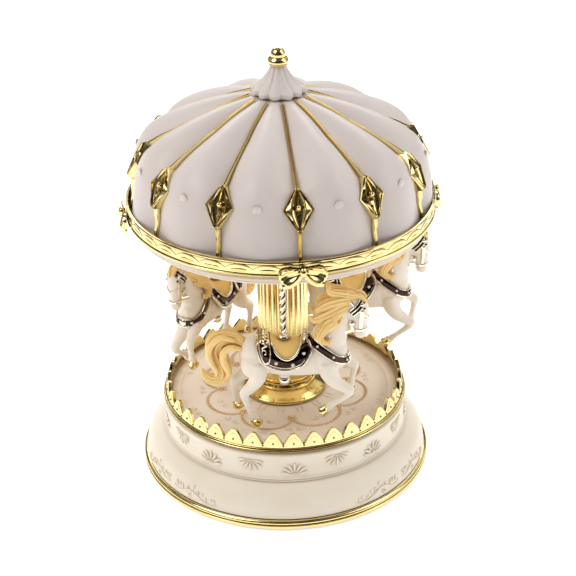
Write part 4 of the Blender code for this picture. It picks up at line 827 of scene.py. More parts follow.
def edging_piece():
    bm = bmesh.new()
    pits = bmesh.new()
    loops = []
    for step in range(EDGE_POINTS * EDGE_SAMPLES):
        azimuth = EDGE_PHASE + 360.0 * step / (EDGE_POINTS * EDGE_SAMPLES)
        top = edge_height((step % EDGE_SAMPLES) / EDGE_SAMPLES)
        loop = []
        for level in range(5):
            height = top * level / 4
            soft = 0.2 if level == 4 else 0.0
            loop.append(polar(edge_radius(height) - soft, azimuth, EDGE_LOW.z + height))
        loop.append(polar(edge_radius(top) - EDGE_WALL, azimuth, EDGE_LOW.z + top - 0.1))
        loop.append(polar(EDGE_R - EDGE_WALL - 0.3, azimuth, EDGE_LOW.z))
        loops.append(loop)
    loft(bm, loops, closed=True)
    torus(bm, EDGE_R + 0.15, EDGE_LOW.z + 0.55, 0.55, 0.5)
    torus(bm, EDGE_R + 0.05, EDGE_LOW.z + 1.45, 0.25, 0.22)
    pitch = 2.0 * math.pi * EDGE_R / EDGE_POINTS
    for number in range(EDGE_POINTS):
        middle = EDGE_PHASE + number * 360.0 / EDGE_POINTS

        def place(a, b, lift, m=middle):
            return polar(edge_radius(b) + lift, m + a * math.degrees(1.0 / EDGE_R), EDGE_LOW.z + b)

        arch = []
        for step in range(13):
            share = step / 12 - 0.5
            a = share * pitch * 0.66
            lift = (1.0 - abs(2.0 * share) ** 2.2) * (EDGE_RISE - ARCH_FOOT) * 0.72
            arch.append((a, ARCH_FOOT + lift))
        stroke(bm, arch, leaf(0.15, 0.3), leaf(0.12, 0.3), place, 4)
        # dark beads in the pits: painted shade
        ball(pits, place(0.0, 3.3, 0.0), PIT_R)
        ball(pits, place(0.5 * pitch, 2.5, -0.1), PIT_R)
    piece("pointed_edging_bright", bm, GOLD, "crown_edging", ["crown_edging"])
    piece("pointed_edging_pits", pits, SHADE_GOLD, "crown_edging")


# ---- column -------------------------------------------------------------------------------
REEDS = 24
FOOT_LEAVES = 16
COLUMN_WALL = 2.8
FOOT_BORE = 6.7


def column_pieces():
    bm = bmesh.new()
    low = FOOT_LOW.z
    inside = COLUMN_R + CLEAR
    outline = [(FOOT_R - 0.1, 0.2), (FOOT_R, 0.7), (FOOT_R - 0.2, 1.1)]
    outline += smooth_path(((FOOT_R - 0.6, 1.3), (FOOT_R - 2.2, 2.5), (FOOT_R - 3.9, 3.5)), 4)
    outline += [(FOOT_R - 3.95, 3.95)]
    outline += arc_points((FOOT_R - 4.3, 4.4), 0.5, -40.0, 150.0, 8)
    outline += [(FOOT_R - 4.9, 4.5)]
    outline += smooth_path(((FOOT_R - 5.1, 4.8), (FOOT_R - 5.5, 5.8), (FOOT_R - 5.3, 6.5)), 4)
    outline += arc_points((FOOT_R - 5.5, 7.0), 0.45, -40.0, 150.0, 6)
    outline += smooth_path(((inside + 1.0, 7.4), (inside + 0.8, 8.2), (inside + 0.7, 9.4)), 3)
    outline += arc_points((inside + 0.4, FOOT_HIGH.z - low - 0.45), 0.45, 0.0, 160.0, 5)
    profile = [(FOOT_R - 0.5, low)] + [(radius, low + rise) for radius, rise in outline]
    profile += [(inside, FOOT_HIGH.z - 0.4), (inside, low + 1.6), (FOOT_BORE, low + 1.6),
                (FOOT_BORE, low)]
    revolve(bm, profile, 144)
    for number in range(FOOT_LEAVES):
        azimuth = FLOWER_PHASE + number * 360.0 / FOOT_LEAVES
        path = [(0.0, 0.5 + 0.4 * step) for step in range(6)]

        def place(a, b, lift, m=azimuth):
            return polar(FOOT_R - 0.1 - 0.5 * (b / 2.8) ** 2 + lift, m + a * 3.6, low + b)

        stroke(bm, path, leaf(0.12, 0.3), leaf(0.12, 0.3), place, 4)
    piece("column_foot_turned", bm, DEEP_GOLD, "column_foot", ["column_foot"])

    low = COLUMN_LOW.z
    high = COLUMN_HIGH.z
    heights = (low, low + 9.2, low + 9.9, low + 10.6, low + 11.4, high - 6.0, high - 5.2, high - 4.4,
               high)
    reeded = (0.0, 0.0, 0.0, 0.6, 1.0, 1.0, 0.6, 0.0, 0.0)
    profile = [(COLUMN_R, height) for height in heights]
    profile += [(COLUMN_R - COLUMN_WALL, high), (COLUMN_R - COLUMN_WALL, low)]

    def reed(azimuth, index, radius, height):
        if index >= len(heights):
            return radius, height
        wave = abs(math.sin(math.radians(azimuth * REEDS / 2.0))) ** 0.55
        reeding = 0.45 * reeded[index] * wave
        return radius - 0.45 - 0.4 * reeded[index] * (1.0 - wave) + reeding, height

    bm = bmesh.new()
    revolve(bm, profile, REEDS * 10, reed)
    torus(bm, COLUMN_R - 0.35, low + 9.9, 0.42)
    torus(bm, COLUMN_R - 0.35, high - 4.6, 0.42)
    piece("column_reeded", bm, PALE_GOLD, "column", ["column"])


# ---- canopy -------------------------------------------------------------------------------
# dome crest as (radius short of the rim, height over the lower edge)
CREST = ((1.4, 0.0), (1.3, 5.1), (1.6, 10.1), (2.1, 14.6), (3.3, 20.1), (5.5, 25.1), (8.8, 29.3),
         (15.2, 33.5),
         (24.4, 37.7), (34.4, 41.0), (44.4, 43.1), (47.8, 43.5), (51.4, 43.8))
DOME_VALLEY = 3.7
DOME_WALL = 1.2
STUD_RISE = 22.0


def crest_rows(steps):
    return [(RIM_R - short, DOME_BASE + rise) for short, rise in smooth_path(CREST, steps)]


def dome_point(radius, height, azimuth):
    """A point of the puffed dome; it sinks from the crests of the gores to the rib lines."""
    fade = min(1.0, (radius - 4.0) / 26.0) * min(1.0, 0.45 + abs(height - DOME_BASE) / 18.0)
    wave = abs(math.sin(math.radians((azimuth - RIB_PHASE) * GORES / 2.0)))
    sink = DOME_VALLEY * fade * (1.0 - wave)
    flat = min(1.0, max(0.0, (radius - 47.0) / 6.0))
    return radius - sink * 0.8, height - sink * (0.9 - 0.8 * flat)


def canopy_piece():
    columns = GORES * 16
    outer_rows = crest_rows(5)
    inner_rows = []
    for i in range(len(outer_rows) - 1, -1, -4):
        radius, height = outer_rows[i]
        along = heading(outer_rows, i)
        inner_rows.append((radius - DOME_WALL * along.y, height + DOME_WALL * along.x))
    bm = bmesh.new()
    loops = []
    for step in range(columns):
        azimuth = RIB_PHASE + 360.0 * step / columns
        loop = [dome_point(radius, height, azimuth) for radius, height in outer_rows + inner_rows]
        loops.append([polar(radius, azimuth, height) for radius, height in loop])
    loft(bm, loops, closed=True)
    stud_height = DOME_BASE + STUD_RISE
    stud_r = max(radius for radius, height in outer_rows if height > stud_height)
    for number in range(GORES):
        azimuth = RIB_PHASE + (number + 0.5) * RIB_STEP
        spot = polar(stud_r, azimuth, stud_height)
        ball(bm, spot, 1.65, (1.0, 0.34, 1.0), rotation(azimuth), 3)
    piece("canopy_puffed_dome", bm, CANOPY, "canopy_shell", ["canopy_shell"])


def rib_line():
    """Rib path in its own plane, from the rim to the crown ring, as (point, outward normal)."""
    points = [Vector(dome_point(radius, height, RIB_PHASE)) for radius, height in crest_rows(5)
              if height > DOME_BASE + 4.0 and radius > CAP_R + 1.0]
    line = []
    for i, point in enumerate(points):
        along = heading(points, i)
        line.append((point, Vector((along.y, -along.x))))
    return line


RIB_LINE = rib_line()
KITE_LOW = 12.9
KITE_MIDDLE = 19.6
KITE_HIGH = 26.5
KITE_HALF = 5.2
RIB_SECTION = ((-1.0, -0.35), (-0.95, 0.3), (-0.6, 0.62), (-0.22, 0.2), (0.0, 0.12), (0.22, 0.2),
               (0.6, 0.62),
               (0.95, 0.3), (1.0, -0.35))


def gore_rise(point, side):
    """How far the puffed dome stands over the rib line at a sideways distance."""
    fade = min(1.0, (point.x - 4.0) / 26.0)
    return 1.1 * DOME_VALLEY * fade * math.sin(min(1.5, abs(side) / point.x * GORES / 2.0))


def rib_place(azimuth, point, out, side, lift):
    """Point beside and above the rib line."""
    spot = point + out * lift
    turn = math.radians(azimuth)
    return Vector((
        spot.x * math.sin(turn) + side * math.cos(turn),
        -spot.x * math.cos(turn) + side * math.sin(turn),
        spot.y,
    ))


RIB_REACH = 5.0


def rib_lift(rise):
    """The rib climbs out of its valley to meet the kite."""
    gap = max(KITE_LOW - rise, rise - KITE_HIGH, 0.0)
    near = max(0.0, 1.0 - gap / RIB_REACH)
    return 0.75 + 0.9 * near * near * (3.0 - 2.0 * near)


def add_rib(bm, azimuth, upper):
    """Grooved rib, either the part up to the kite or the slim part over it."""
    loops = []
    for point, out in RIB_LINE:
        rise = point.y - DOME_BASE
        if (rise < KITE_MIDDLE) == upper:
            continue
        half = 0.75 if rise < KITE_MIDDLE else max(0.3, 0.5 - 0.014 * (rise - KITE_MIDDLE))
        lift = rib_lift(rise)
        loops.append([rib_place(azimuth, point, out, a * half, (lift if b > 0.0 else 0.5) + b * 1.1)
                      for a, b in RIB_SECTION])
    loft(bm, loops)


def kite_samples():
    """Even samples of the rib line over the kite, each with its share of the kite's length."""
    fine = []
    for (here, out), (there, other) in zip(RIB_LINE, RIB_LINE[1:]):
        for step in range(6):
            share = step / 6
            fine.append((here.lerp(there, share), out.lerp(other, share).normalized()))
    kept = [(p, n) for p, n in fine if KITE_LOW < p.y - DOME_BASE < KITE_HIGH]
    lengths = [0.0]
    for (here, _a), (there, _b) in zip(kept, kept[1:]):
        lengths.append(lengths[-1] + (there - here).length)
    return [(p, n, length / lengths[-1]) for (p, n), length in zip(kept, lengths)]


KITE_SAMPLES = kite_samples()
KITE_SPLIT = 0.5
KITE_RIM = 0.5
ALMOND_HALF = 2.45


def kite_half(share):
    if share < KITE_SPLIT:
        return 0.5 + (KITE_HALF - 0.5) * share / KITE_SPLIT
    return 0.5 + (KITE_HALF - 0.5) * (1.0 - share) / (1.0 - KITE_SPLIT)


def kite_section(share):
    """Sideways distance and height of the kite's relief from its middle to its edge."""
    half = kite_half(share)
    rim = min(KITE_RIM, 0.4 * half)
    almond = min(ALMOND_HALF * math.sin(math.pi * share) + 0.05, half - rim - 0.1)
    almond = max(almond, 0.03)
    return (
        (0.0, 0.0), (almond * 0.5, 0.12), (almond * 0.85, 0.55), (almond, 1.0), (almond + 0.06, 0.98),
        (half - rim - 0.04, 0.0), (half - rim, 0.42), (half - 0.1, 0.46), (half, 0.2),
    )


KITE_START = KITE_SAMPLES[0][0]
KITE_ALONG = (KITE_SAMPLES[-1][0] - KITE_START).normalized()
KITE_OUT = Vector((KITE_ALONG.y, -KITE_ALONG.x))
KITE_TAPER = 0.07
KITE_MIDDLE_SAMPLE = KITE_SAMPLES[int(len(KITE_SAMPLES) * KITE_SPLIT)]


def kite_base(point):
    """Foot of a rib line point on the straight line between the kite's two ends."""
    return KITE_START + KITE_ALONG * (point - KITE_START).dot(KITE_ALONG)


def kite_need(point, share):
    """Height over the chord that clears the rib line and the puffed gores beside it."""
    return (point - kite_base(point)).dot(KITE_OUT) + 0.1 + gore_rise(point, 0.55 * kite_half(share))


KITE_STAND = max(kite_need(point, share) for point, _out, share in KITE_SAMPLES)


def kite_floor(share):
    """Height of the flat kite over its chord; the two ends dip to the rib."""
    near = min(1.0, min(share, 1.0 - share) / KITE_TAPER)
    return KITE_STAND - 1.6 * (1.0 - near) ** 2


def add_kite(bm, azimuth):
    """Flat kite with a thin rim and two facets that climb to an almond ridge round a bead."""
    def both_points(i, j):
        point, out, share = KITE_SAMPLES[i]
        right = kite_section(share)
        side, height = (*[(-a, b) for a, b in reversed(right[1:])], *right)[j]
        upper = rib_place(azimuth, kite_base(point), KITE_OUT, side, kite_floor(share) + height)
        return upper, rib_place(azimuth, point, out, side, 0.1)

    sheet(bm, len(KITE_SAMPLES), 2 * len(kite_section(KITE_SPLIT)) - 1, both_points)
    point, _out, share = KITE_MIDDLE_SAMPLE
    ball(bm, rib_place(azimuth, kite_base(point), KITE_OUT, 0.0, kite_floor(share) + 0.9), 0.85,
         detail=3)


def kite_lines_piece():
    """Almond outline and bead ring of every kite, in dark gold as painted shade."""
    bm = bmesh.new()
    inner = [row for row in KITE_SAMPLES if 0.08 < row[2] < 0.92][::2]
    middle = KITE_MIDDLE_SAMPLE[0]
    for number in range(GORES):
        azimuth = RIB_PHASE + number * RIB_STEP
        for side in SIDES:
            spots = []
            for point, _out, share in inner:
                across = side * kite_section(share)[3][0]
                spots.append(rib_place(azimuth, kite_base(point), KITE_OUT, across,
                                       kite_floor(share) + 0.98))
            tube(bm, [(spot.x, spot.y, spot.z, 0.16, 0.16) for spot in spots], 6)
        ball(bm, rib_place(azimuth, kite_base(middle), KITE_OUT, 0.0, KITE_STAND), 1.3, detail=3)
    piece("kite_shade_lines", bm, SHADE_GOLD, "rib_cage")


SWAGS = 36
OVAL_WIDE = 2.9
SWAG_SAMPLES = 14
RIM_STEPS = 192
GARLAND_SECTION = ((-1.0, 0.02), (-0.5, 0.16), (0.5, 0.16), (1.0, 0.02), (0.0, -0.3))
LINE_SECTION = ((-0.12, 0.03), (0.0, 0.09), (0.12, 0.03), (0.0, -0.25))


def rim_place(a, b, lift):
    """a in degrees of azimuth, b in millimetres over the rim's lower edge."""
    return polar(RIM_R - 0.35 + lift, a, RIM_LOW + b)


def garland_piece():
    """Scallops, two border lines and ovals moulded round the rim, in darker gold as painted shade in their
    hollows.
    """
    step_deg = 360.0 / SWAGS
    bm = bmesh.new()
    loops = []
    for number in range(SWAGS * SWAG_SAMPLES):
        share = (number % SWAG_SAMPLES) / SWAG_SAMPLES
        azimuth = number * step_deg / SWAG_SAMPLES
        height = 3.2 + 1.6 * math.sin(math.pi * share) ** 0.75
        half = 0.12 + 0.3 * max(0.0, math.sin(math.pi * (1.6 * share - 0.5)))
        loops.append([rim_place(azimuth, height + side * half, lift) for side, lift in GARLAND_SECTION])
    loft(bm, loops, closed=True)
    for height in (1.5, 5.25):
        ring = []
        for number in range(RIM_STEPS):
            azimuth = number * 360.0 / RIM_STEPS
            ring.append([rim_place(azimuth, height + side, lift) for side, lift in LINE_SECTION])
        loft(bm, ring, closed=True)
    piece("rim_garland_lines", bm, SHADE_GOLD, "rib_cage")
    bm = bmesh.new()
    # ovals in deep gold: painted shade in their hollows
    for number in range(SWAGS):
        azimuth = (number + 0.5) * step_deg
        ball(bm, rim_place(azimuth, 2.75, -0.15), 1.0, (OVAL_WIDE, 0.42, 0.8), rotation(azimuth), 3)
    piece("rim_garland_ovals", bm, DEEP_GOLD, "rib_cage")


def cage_piece():
    bm = bmesh.new()
    high = CAGE_LOW.z + 6.3
    wall = RIM_R - 1.0
    revolve(bm, (
        (RIM_R - 4.2, RIM_LOW), (RIM_R - 0.9, RIM_LOW), (RIM_R - 0.3, RIM_LOW + 0.25),
        (RIM_R, RIM_LOW + 0.7),
        (RIM_R - 0.1, RIM_LOW + 1.15), (RIM_R - 0.45, RIM_LOW + 1.4), (RIM_R - 0.35, RIM_LOW + 2.2),
        (RIM_R - 0.3, high - 2.6), (RIM_R - 0.4, high - 1.4), (RIM_R - 0.5, high - 1.15),
        (RIM_R - 0.1, high - 0.95),
        (RIM_R, high - 0.55), (RIM_R - 0.2, high - 0.15), (RIM_R - 0.6, high), (wall, high),
        (wall, RIM_LOW + 0.7),
        (RIM_R - 4.2, RIM_LOW + 0.7),
    ), RIM_STEPS)
    for number in range(GORES):
        azimuth = RIB_PHASE + number * RIB_STEP
        add_rib(bm, azimuth, False)
        add_kite(bm, azimuth)
    torus(bm, CAP_R - 2.4, DOME_HIGH.z + 0.3, 0.75, 0.3)
    piece("rim_and_ribs_bright", bm, GOLD, "rib_cage", ["rib_cage"])
    garland_piece()
    kite_lines_piece()
    # the ribs over the kites in paler gold than the ribs below: painted light on the upper ribs
    bm = bmesh.new()
    for number in range(GORES):
        add_rib(bm, RIB_PHASE + number * RIB_STEP, True)
    piece("ribs_over_kites", bm, PALE_GOLD, "rib_cage")


POLE_HOLE_R = 1.75


def soffit_piece():
    bm = bmesh.new()
    low = SOFFIT_LOW.z
    high = SOFFIT_HIGH.z
    edge = SOFFIT_HIGH.x
    hole = COLUMN_R + 0.9
    profile = [(hole, low + 0.8), (edge - 8.0, low + 0.8), (edge - 4.0, low + 0.8),
               (edge - 3.6, low - 0.9)]
    profile += [(edge - 2.9, low - 1.2), (edge - 1.1, low - 1.2), (edge - 0.5, low - 0.8),
                (edge - 0.3, low - 0.2)]
    profile += [(edge - 0.4, low), (edge - 0.1, low + 0.35), (edge, low + 0.9)]
    profile += [(edge - 0.1, high - 0.3), (edge - 0.4, high), (hole, high)]
    revolve(bm, profile, 144)
    torus(bm, hole + 2.2, low + 0.8, 0.6, 0.35, 96)
    for number in range(GORES):
        azimuth = RIB_PHASE + number * RIB_STEP

        def place(a, b, lift, m=azimuth):
            return polar(b, m + a, low + 0.8 - lift)

        stroke(bm, [(0.0, 14.0 + step * 3.4) for step in range(11)], leaf(0.4, 0.3), leaf(0.3, 0.3),
               place, 5)
    made = piece("soffit_moulded", bm, SOFFIT_CREAM, "soffit_plate", ["soffit_plate"])
    for name in HEADINGS:
        pivot = PIVOT[f"{name}_horse_swivel"]
        drill(made, (pivot.x, pivot.y, SOFFIT_LOW.z), POLE_HOLE_R, 12.0, 24)


CAP_FLUTES = 12
CAP_BORE = 1.5
BALL_R = 3.8
TIP_R = 2.7


def cap_pieces():
    bm = bmesh.new()
    low = CAP_LOW.z
    high = CAP_HIGH.z
    outer = smooth_path(((CAP_R - 0.1, -1.1), (CAP_R, -0.3), (CAP_R - 0.35, 0.5), (7.9, 1.6),
                         (5.7, 3.7), (4.1, 5.9), (2.8, 8.4)), 4)
    profile = [(radius, low + rise) for radius, rise in outer]
    profile += [(2.0, high + 1.2), (CAP_BORE, high + 1.2), (CAP_BORE, low + 2.6),
                (CAP_R - 1.3, low - 1.1)]
    last = len(outer)

    def flute(azimuth, index, radius, height):
        if index >= last:
            return radius, height
        wave = abs(math.sin(math.radians((azimuth - RIB_PHASE) * CAP_FLUTES / 2.0)))
        sunk = radius - 0.13 * radius * (1.0 - wave) ** 1.2
        return sunk, height + 0.5 * (1.0 - wave) * radius / CAP_R

    revolve(bm, profile, 192, flute)
    piece("cap_fluted", bm, CANOPY, "cap", ["cap"])

    bm = bmesh.new()
    low = FINIAL_LOW.z
    height = FINIAL_HIGH.z - low
    stem = [(1.2, 0.0), (1.2, height - 8.2)]
    lower = [(BALL_R * math.cos(math.radians(t)), height - 5.0 + 2.5 * math.sin(math.radians(t)))
             for t in range(-60, 50, 10)]
    upper = [(TIP_R * math.cos(math.radians(t)), height - TIP_R + TIP_R * math.sin(math.radians(t)))
             for t in range(-20, 90, 10)]
    profile = [(radius, low + rise) for radius, rise in stem + lower + upper]
    profile += [(0.2, low + height), (0.2, low)]
    revolve(bm, profile, 72)
    piece("finial_turned", bm, GOLD, "finial", ["finial"])


# ---- bows -----------------------------------------------------------------------------------
# one loop of the bow: distance from the knot, height, half width and bulge at each share
BOW_LOOP = ((0.4, 0.2, 0.8, 0.6), (1.8, -0.4, 1.8, 1.8), (3.5, -1.1, 2.7, 2.7), (5.2, -1.7, 3.2, 3.0),
            (6.7, -2.3, 2.8, 2.5), (7.7, -2.8, 1.4, 1.3))
BOW_TAIL = ((0.5, -1.2, 0.8, 0.7), (2.2, -2.9, 1.3, 0.8), (4.6, -4.6, 1.6, 0.8), (7.0, -5.4, 1.1, 0.6))
KNOT_DROP = 2.7


def bow_lobe(bm, stations, side, hollow):
    """Puffed ribbon shape; the rims stay proud and the middle dips by hollow."""
    path = smooth_path(stations, 5)
    columns = 14

    def both_points(i, column):
        x, z, half, bulge = path[i]
        along = heading(path, i)
        t = 2.0 * column / columns - 1.0
        spot = Vector((x, z)) + Vector((-along.y, along.x)) * half * t
        dome = math.cos(0.5 * math.pi * t) ** 0.6 if abs(t) < 1.0 else 0.0
        dip = hollow * math.exp(-((t - 0.15) / 0.55) ** 4) * math.sin(math.pi * i / (len(path) - 1))
        proud = 0.2 + bulge * max(0.12, dome - dip)
        return Vector((side * spot.x, -proud, spot.y)), Vector((side * spot.x, 0.15, spot.y))

    sheet(bm, len(path), columns + 1, both_points)


def bow_pieces():
    for number, azimuth in enumerate(BOW_AZIMUTHS):
        bm = bmesh.new()
        for side in SIDES:
            bow_lobe(bm, BOW_LOOP, side, 0.85)
            bow_lobe(bm, BOW_TAIL, side, 0.0)
        ball(bm, (0.0, -1.2, 0.0), 1.5, (0.85, 0.95, 1.1), detail=3)
        for lean in (-0.45, 0.45):
            tube(bm, [(lean, -1.0 - 1.25 * math.cos(t * 0.3), 1.7 * math.sin(t * 0.3), 0.22, 0.22)
                      for t in range(-4, 5)], 8)
        knot = polar(RIM_R + 0.2, azimuth, BOW_TOP - KNOT_DROP)
        place = Matrix.Translation(knot) @ rotation(azimuth).to_4x4()
        node = f"bow_{number + 1}"
        piece(f"ribbon_{node}", bm, GOLD, node, [node], place)


# ---- horses -------------------------------------------------------------------------------
# Local axes: nose along +X, the pole at X = 0, left side +Y, heights as for the front horse.
TRUNK = (
    (-16.2, 61.0, 1.4, 2.6), (-13.6, 61.1, 4.4, 5.8), (-9.0, 60.6, 5.8, 7.0), (-3.0, 59.1, 5.5, 7.0),
    (4.0, 58.5, 5.5, 7.1), (10.0, 59.0, 5.7, 7.4), (15.0, 59.9, 5.6, 7.7), (18.8, 61.0, 4.9, 7.0),
    (21.4, 61.8, 3.5, 5.2), (22.9, 62.0, 1.6, 2.8),
)
NECK = (
    (14.4, 62.0, 5.1, 7.4), (16.6, 67.6, 4.3, 6.5), (18.6, 73.4, 3.6, 5.2), (20.6, 78.0, 3.1, 4.5),
    (22.8, 80.6, 2.7, 3.8), (24.8, 81.2, 2.2, 3.2),
)
HEAD = (
    (22.6, 81.0, 2.2, 2.6), (25.0, 80.6, 2.8, 3.4), (26.8, 78.6, 2.9, 3.8), (27.3, 75.6, 2.5, 3.3),
    (27.5, 72.6, 2.1, 2.8), (27.6, 70.0, 2.0, 2.5), (27.6, 67.9, 2.0, 2.3), (27.5, 66.6, 1.3, 1.5),
)
JOWL = ((24.6, 78.4, 2.5, 2.6), (25.2, 76.0, 2.3, 2.3), (25.9, 74.0, 1.7, 1.8))
LEGS = (
    ((15.4, -3.0, 58.0, 3.8), (16.4, -3.7, 53.6, 3.4), (18.4, -4.1, 50.4, 2.7), (21.4, -4.3, 48.2, 2.1),
     (23.6, -4.3, 46.7, 1.85), (23.0, -4.3, 45.0, 1.45), (20.6, -4.3, 43.0, 1.15),
     (17.8, -4.3, 40.9, 1.15),
     (16.3, -4.3, 39.7, 1.45), (15.1, -4.3, 38.7, 1.45)),
    ((16.5, 3.0, 59.4, 3.4), (20.4, 3.7, 56.6, 2.7), (24.0, 4.0, 53.8, 2.0), (25.7, 4.0, 52.4, 1.75),
     (25.6, 4.0, 50.2, 1.35), (25.2, 4.0, 47.6, 1.15), (24.8, 4.0, 45.4, 1.2), (24.6, 4.0, 44.3, 1.5),
     (24.2, 4.0, 43.2, 1.45)),
    ((-9.6, -2.8, 58.4, 4.0), (-9.4, -3.5, 53.2, 3.4), (-11.6, -3.9, 49.2, 2.4),
     (-14.5, -4.0, 46.2, 1.9),
     (-14.4, -4.0, 43.6, 1.4), (-13.4, -4.0, 40.0, 1.15), (-12.4, -4.0, 37.2, 1.2),
     (-11.7, -4.0, 35.4, 1.5),
     (-11.0, -4.0, 34.2, 1.45)),
    ((-9.6, 2.8, 58.4, 4.0), (-11.4, 3.5, 53.0, 3.4), (-15.0, 3.9, 49.4, 2.4), (-18.2, 4.0, 46.8, 1.9),
     (-18.6, 4.0, 44.6, 1.4), (-18.4, 4.0, 42.0, 1.15), (-18.1, 4.0, 39.8, 1.2),
     (-17.8, 4.0, 38.4, 1.5),
     (-17.5, 4.0, 37.2, 1.45)),
)
HOOF_LENGTH = 2.9
# radius of the hoof at each share of its length
HOOF = ((0.0, 1.45), (0.08, 1.75), (0.2, 1.78), (0.26, 1.6), (0.9, 2.1), (1.0, 2.0), (1.02, 1.4))
EAR = ((22.6, 1.5, 82.6, 1.0), (22.7, 1.9, 84.2, 1.0), (22.9, 2.1, 85.6, 0.75), (23.1, 2.2, 86.6, 0.3))
TAIL = (
    (-12.6, 0.0, 62.2, 1.5, 1.8), (-15.8, 0.1, 65.4, 2.0, 2.5), (-19.6, 0.3, 67.3, 2.4, 3.2),
    (-23.4, 0.5, 66.0, 2.7, 3.8), (-24.7, 0.6, 62.2, 2.8, 3.9), (-23.4, 0.5, 58.0, 2.7, 3.6),
    (-22.2, 0.2, 54.2, 2.4, 3.2), (-23.0, -0.1, 50.9, 2.1, 3.1), (-26.2, -0.3, 50.0, 1.8, 2.5),
    (-28.8, -0.4, 52.0, 1.3, 1.6), (-30.0, -0.4, 54.6, 0.5, 0.5),
)
TAIL_STRANDS = (
    ((-15.0, -1.9, 63.2, 0.9), (-18.8, -2.4, 64.6, 1.1), (-21.4, -2.6, 63.0, 1.3),
     (-22.0, -2.7, 59.8, 1.4),
     (-21.0, -2.6, 56.4, 1.3), (-20.2, -2.3, 53.4, 1.0), (-21.4, -2.0, 51.4, 0.4)),
    ((-17.6, -2.0, 67.0, 0.8), (-22.2, -2.3, 68.4, 1.0), (-26.0, -2.4, 65.6, 1.2),
     (-27.2, -2.4, 61.8, 1.2),
     (-26.0, -2.3, 57.6, 1.1), (-24.6, -2.0, 54.4, 0.9), (-24.8, -1.8, 52.0, 0.4)),
)
# stations are x, side offset, height, thickness and half width of each flat lock
LOCKS = (
    ((27.0, 0.4, 83.4, 1.0, 0.8), (24.6, 1.2, 84.2, 1.5, 1.6), (21.2, 1.7, 84.8, 1.5, 2.0),
     (18.2, 1.8, 85.4, 1.3, 1.9), (16.5, 1.8, 86.9, 1.0, 1.3), (16.8, 1.8, 88.4, 0.5, 0.6)),
    ((24.0, 0.8, 82.4, 1.8, 1.8), (20.4, 2.2, 82.4, 1.7, 2.5), (16.4, 2.7, 81.4, 1.5, 2.6),
     (13.4, 2.8, 79.9, 1.2, 1.9), (11.9, 2.7, 78.0, 0.5, 0.7)),
    ((22.6, 1.0, 80.4, 1.9, 2.4), (18.6, 2.7, 78.8, 1.8, 2.9), (14.6, 3.2, 77.0, 1.6, 2.6),
     (11.4, 3.2, 75.9, 1.2, 1.8), (9.6, 3.0, 76.9, 0.5, 0.7)),
    ((20.8, 1.2, 77.6, 1.9, 2.4), (17.4, 3.3, 75.2, 1.8, 2.9), (14.2, 3.9, 72.8, 1.6, 2.6),
     (12.2, 4.0, 70.4, 1.2, 1.8), (11.8, 3.8, 68.6, 0.5, 0.7)),
    ((20.8, 1.8, 80.6, 1.2, 1.7), (18.8, 3.5, 78.0, 1.3, 1.8), (18.2, 4.0, 75.8, 1.2, 1.4),
     (19.2, 4.1, 74.6, 0.9, 1.0), (20.4, 3.8, 75.4, 0.4, 0.4)),
    ((17.6, 2.6, 77.0, 1.2, 1.7), (14.6, 4.6, 73.0, 1.3, 1.9), (12.9, 5.3, 69.9, 1.3, 1.6),
     (14.0, 5.7, 67.9, 1.0, 1.2), (15.9, 5.6, 67.5, 0.8, 0.9), (16.9, 5.4, 68.7, 0.4, 0.4)),
)
FORELOCKS = (
    ((24.4, 0.5, 83.2, 1.2, 1.3), (26.6, 0.8, 84.3, 1.2, 1.3), (28.4, 0.8, 83.8, 0.9, 1.0),
     (29.8, 0.7, 82.2, 0.4, 0.4)),
    ((24.4, -0.5, 83.0, 1.1, 1.2), (26.8, -0.9, 83.8, 1.1, 1.2), (28.8, -1.0, 82.4, 0.8, 0.8),
     (29.7, -0.9, 80.8, 0.35, 0.35)),
)
VOXEL = 0.00036
BORE_R = 1.5


def hanger_place(name):
    """Where a pole's own axes stand in the row frame."""
    pivot = PIVOT[f"{name}_horse_swivel"]
    lift = span(f"pole_{name}")[0].z - POLE_LOW.z
    return Matrix.Translation((pivot.x, pivot.y, lift))


def horse_place(name):
    """The same place, swung to the horse's own heading."""
    return hanger_place(name) @ Matrix.Rotation(math.radians(HEADINGS[name]), 4, "Z")


def raw_body():
    """Skin of the horse before it is fused and softened."""
    bm = bmesh.new()
    for limb in (TRUNK, NECK, HEAD, JOWL):
        tube(bm, smooth_path(flat_stations(limb), 5), 24)
    for leg in LEGS:
        tube(bm, smooth_path(round_stations(leg), 5), 18)
    for side in SIDES:
        tube(bm, smooth_path(round_stations([(x, y * side, z, r) for x, y, z, r in EAR]), 4), 12)
        ball(bm, (-10.6, 3.0 * side, 57.4), 4.6, (1.15, 0.75, 1.2), detail=3)
        ball(bm, (15.8, 3.4 * side, 58.4), 3.9, (1.0, 0.7, 1.25), detail=3)
        ball(bm, (27.4, 2.2 * side, 80.2), 1.2, (1.2, 0.5, 0.9))
        ball(bm, (28.9, 1.2 * side, 68.4), 0.75, (0.8, 0.8, 1.0))
    ball(bm, (23.7, -4.3, 46.8), 1.85)
    ball(bm, (25.7, 4.0, 52.6), 1.8)
    return bm


def fused_body():
    """An object with the limbs fused into one smooth skin."""
    bm = raw_body()
    scale(bm, MM)
    item = put_in_scene(bm, "horse_skin")
    remesh = item.modifiers.new("skin", "REMESH")
    remesh.mode = "VOXEL"
    remesh.voxel_size = VOXEL
    soften = item.modifiers.new("soften", "SMOOTH")
    soften.factor = 0.5
    soften.iterations = 9
    fix_shape(item)
    return item


def fading(distance, reach):
    """1 at the spot itself and 0 from reach on."""
    return max(0.0, 1.0 - abs(distance) / reach)


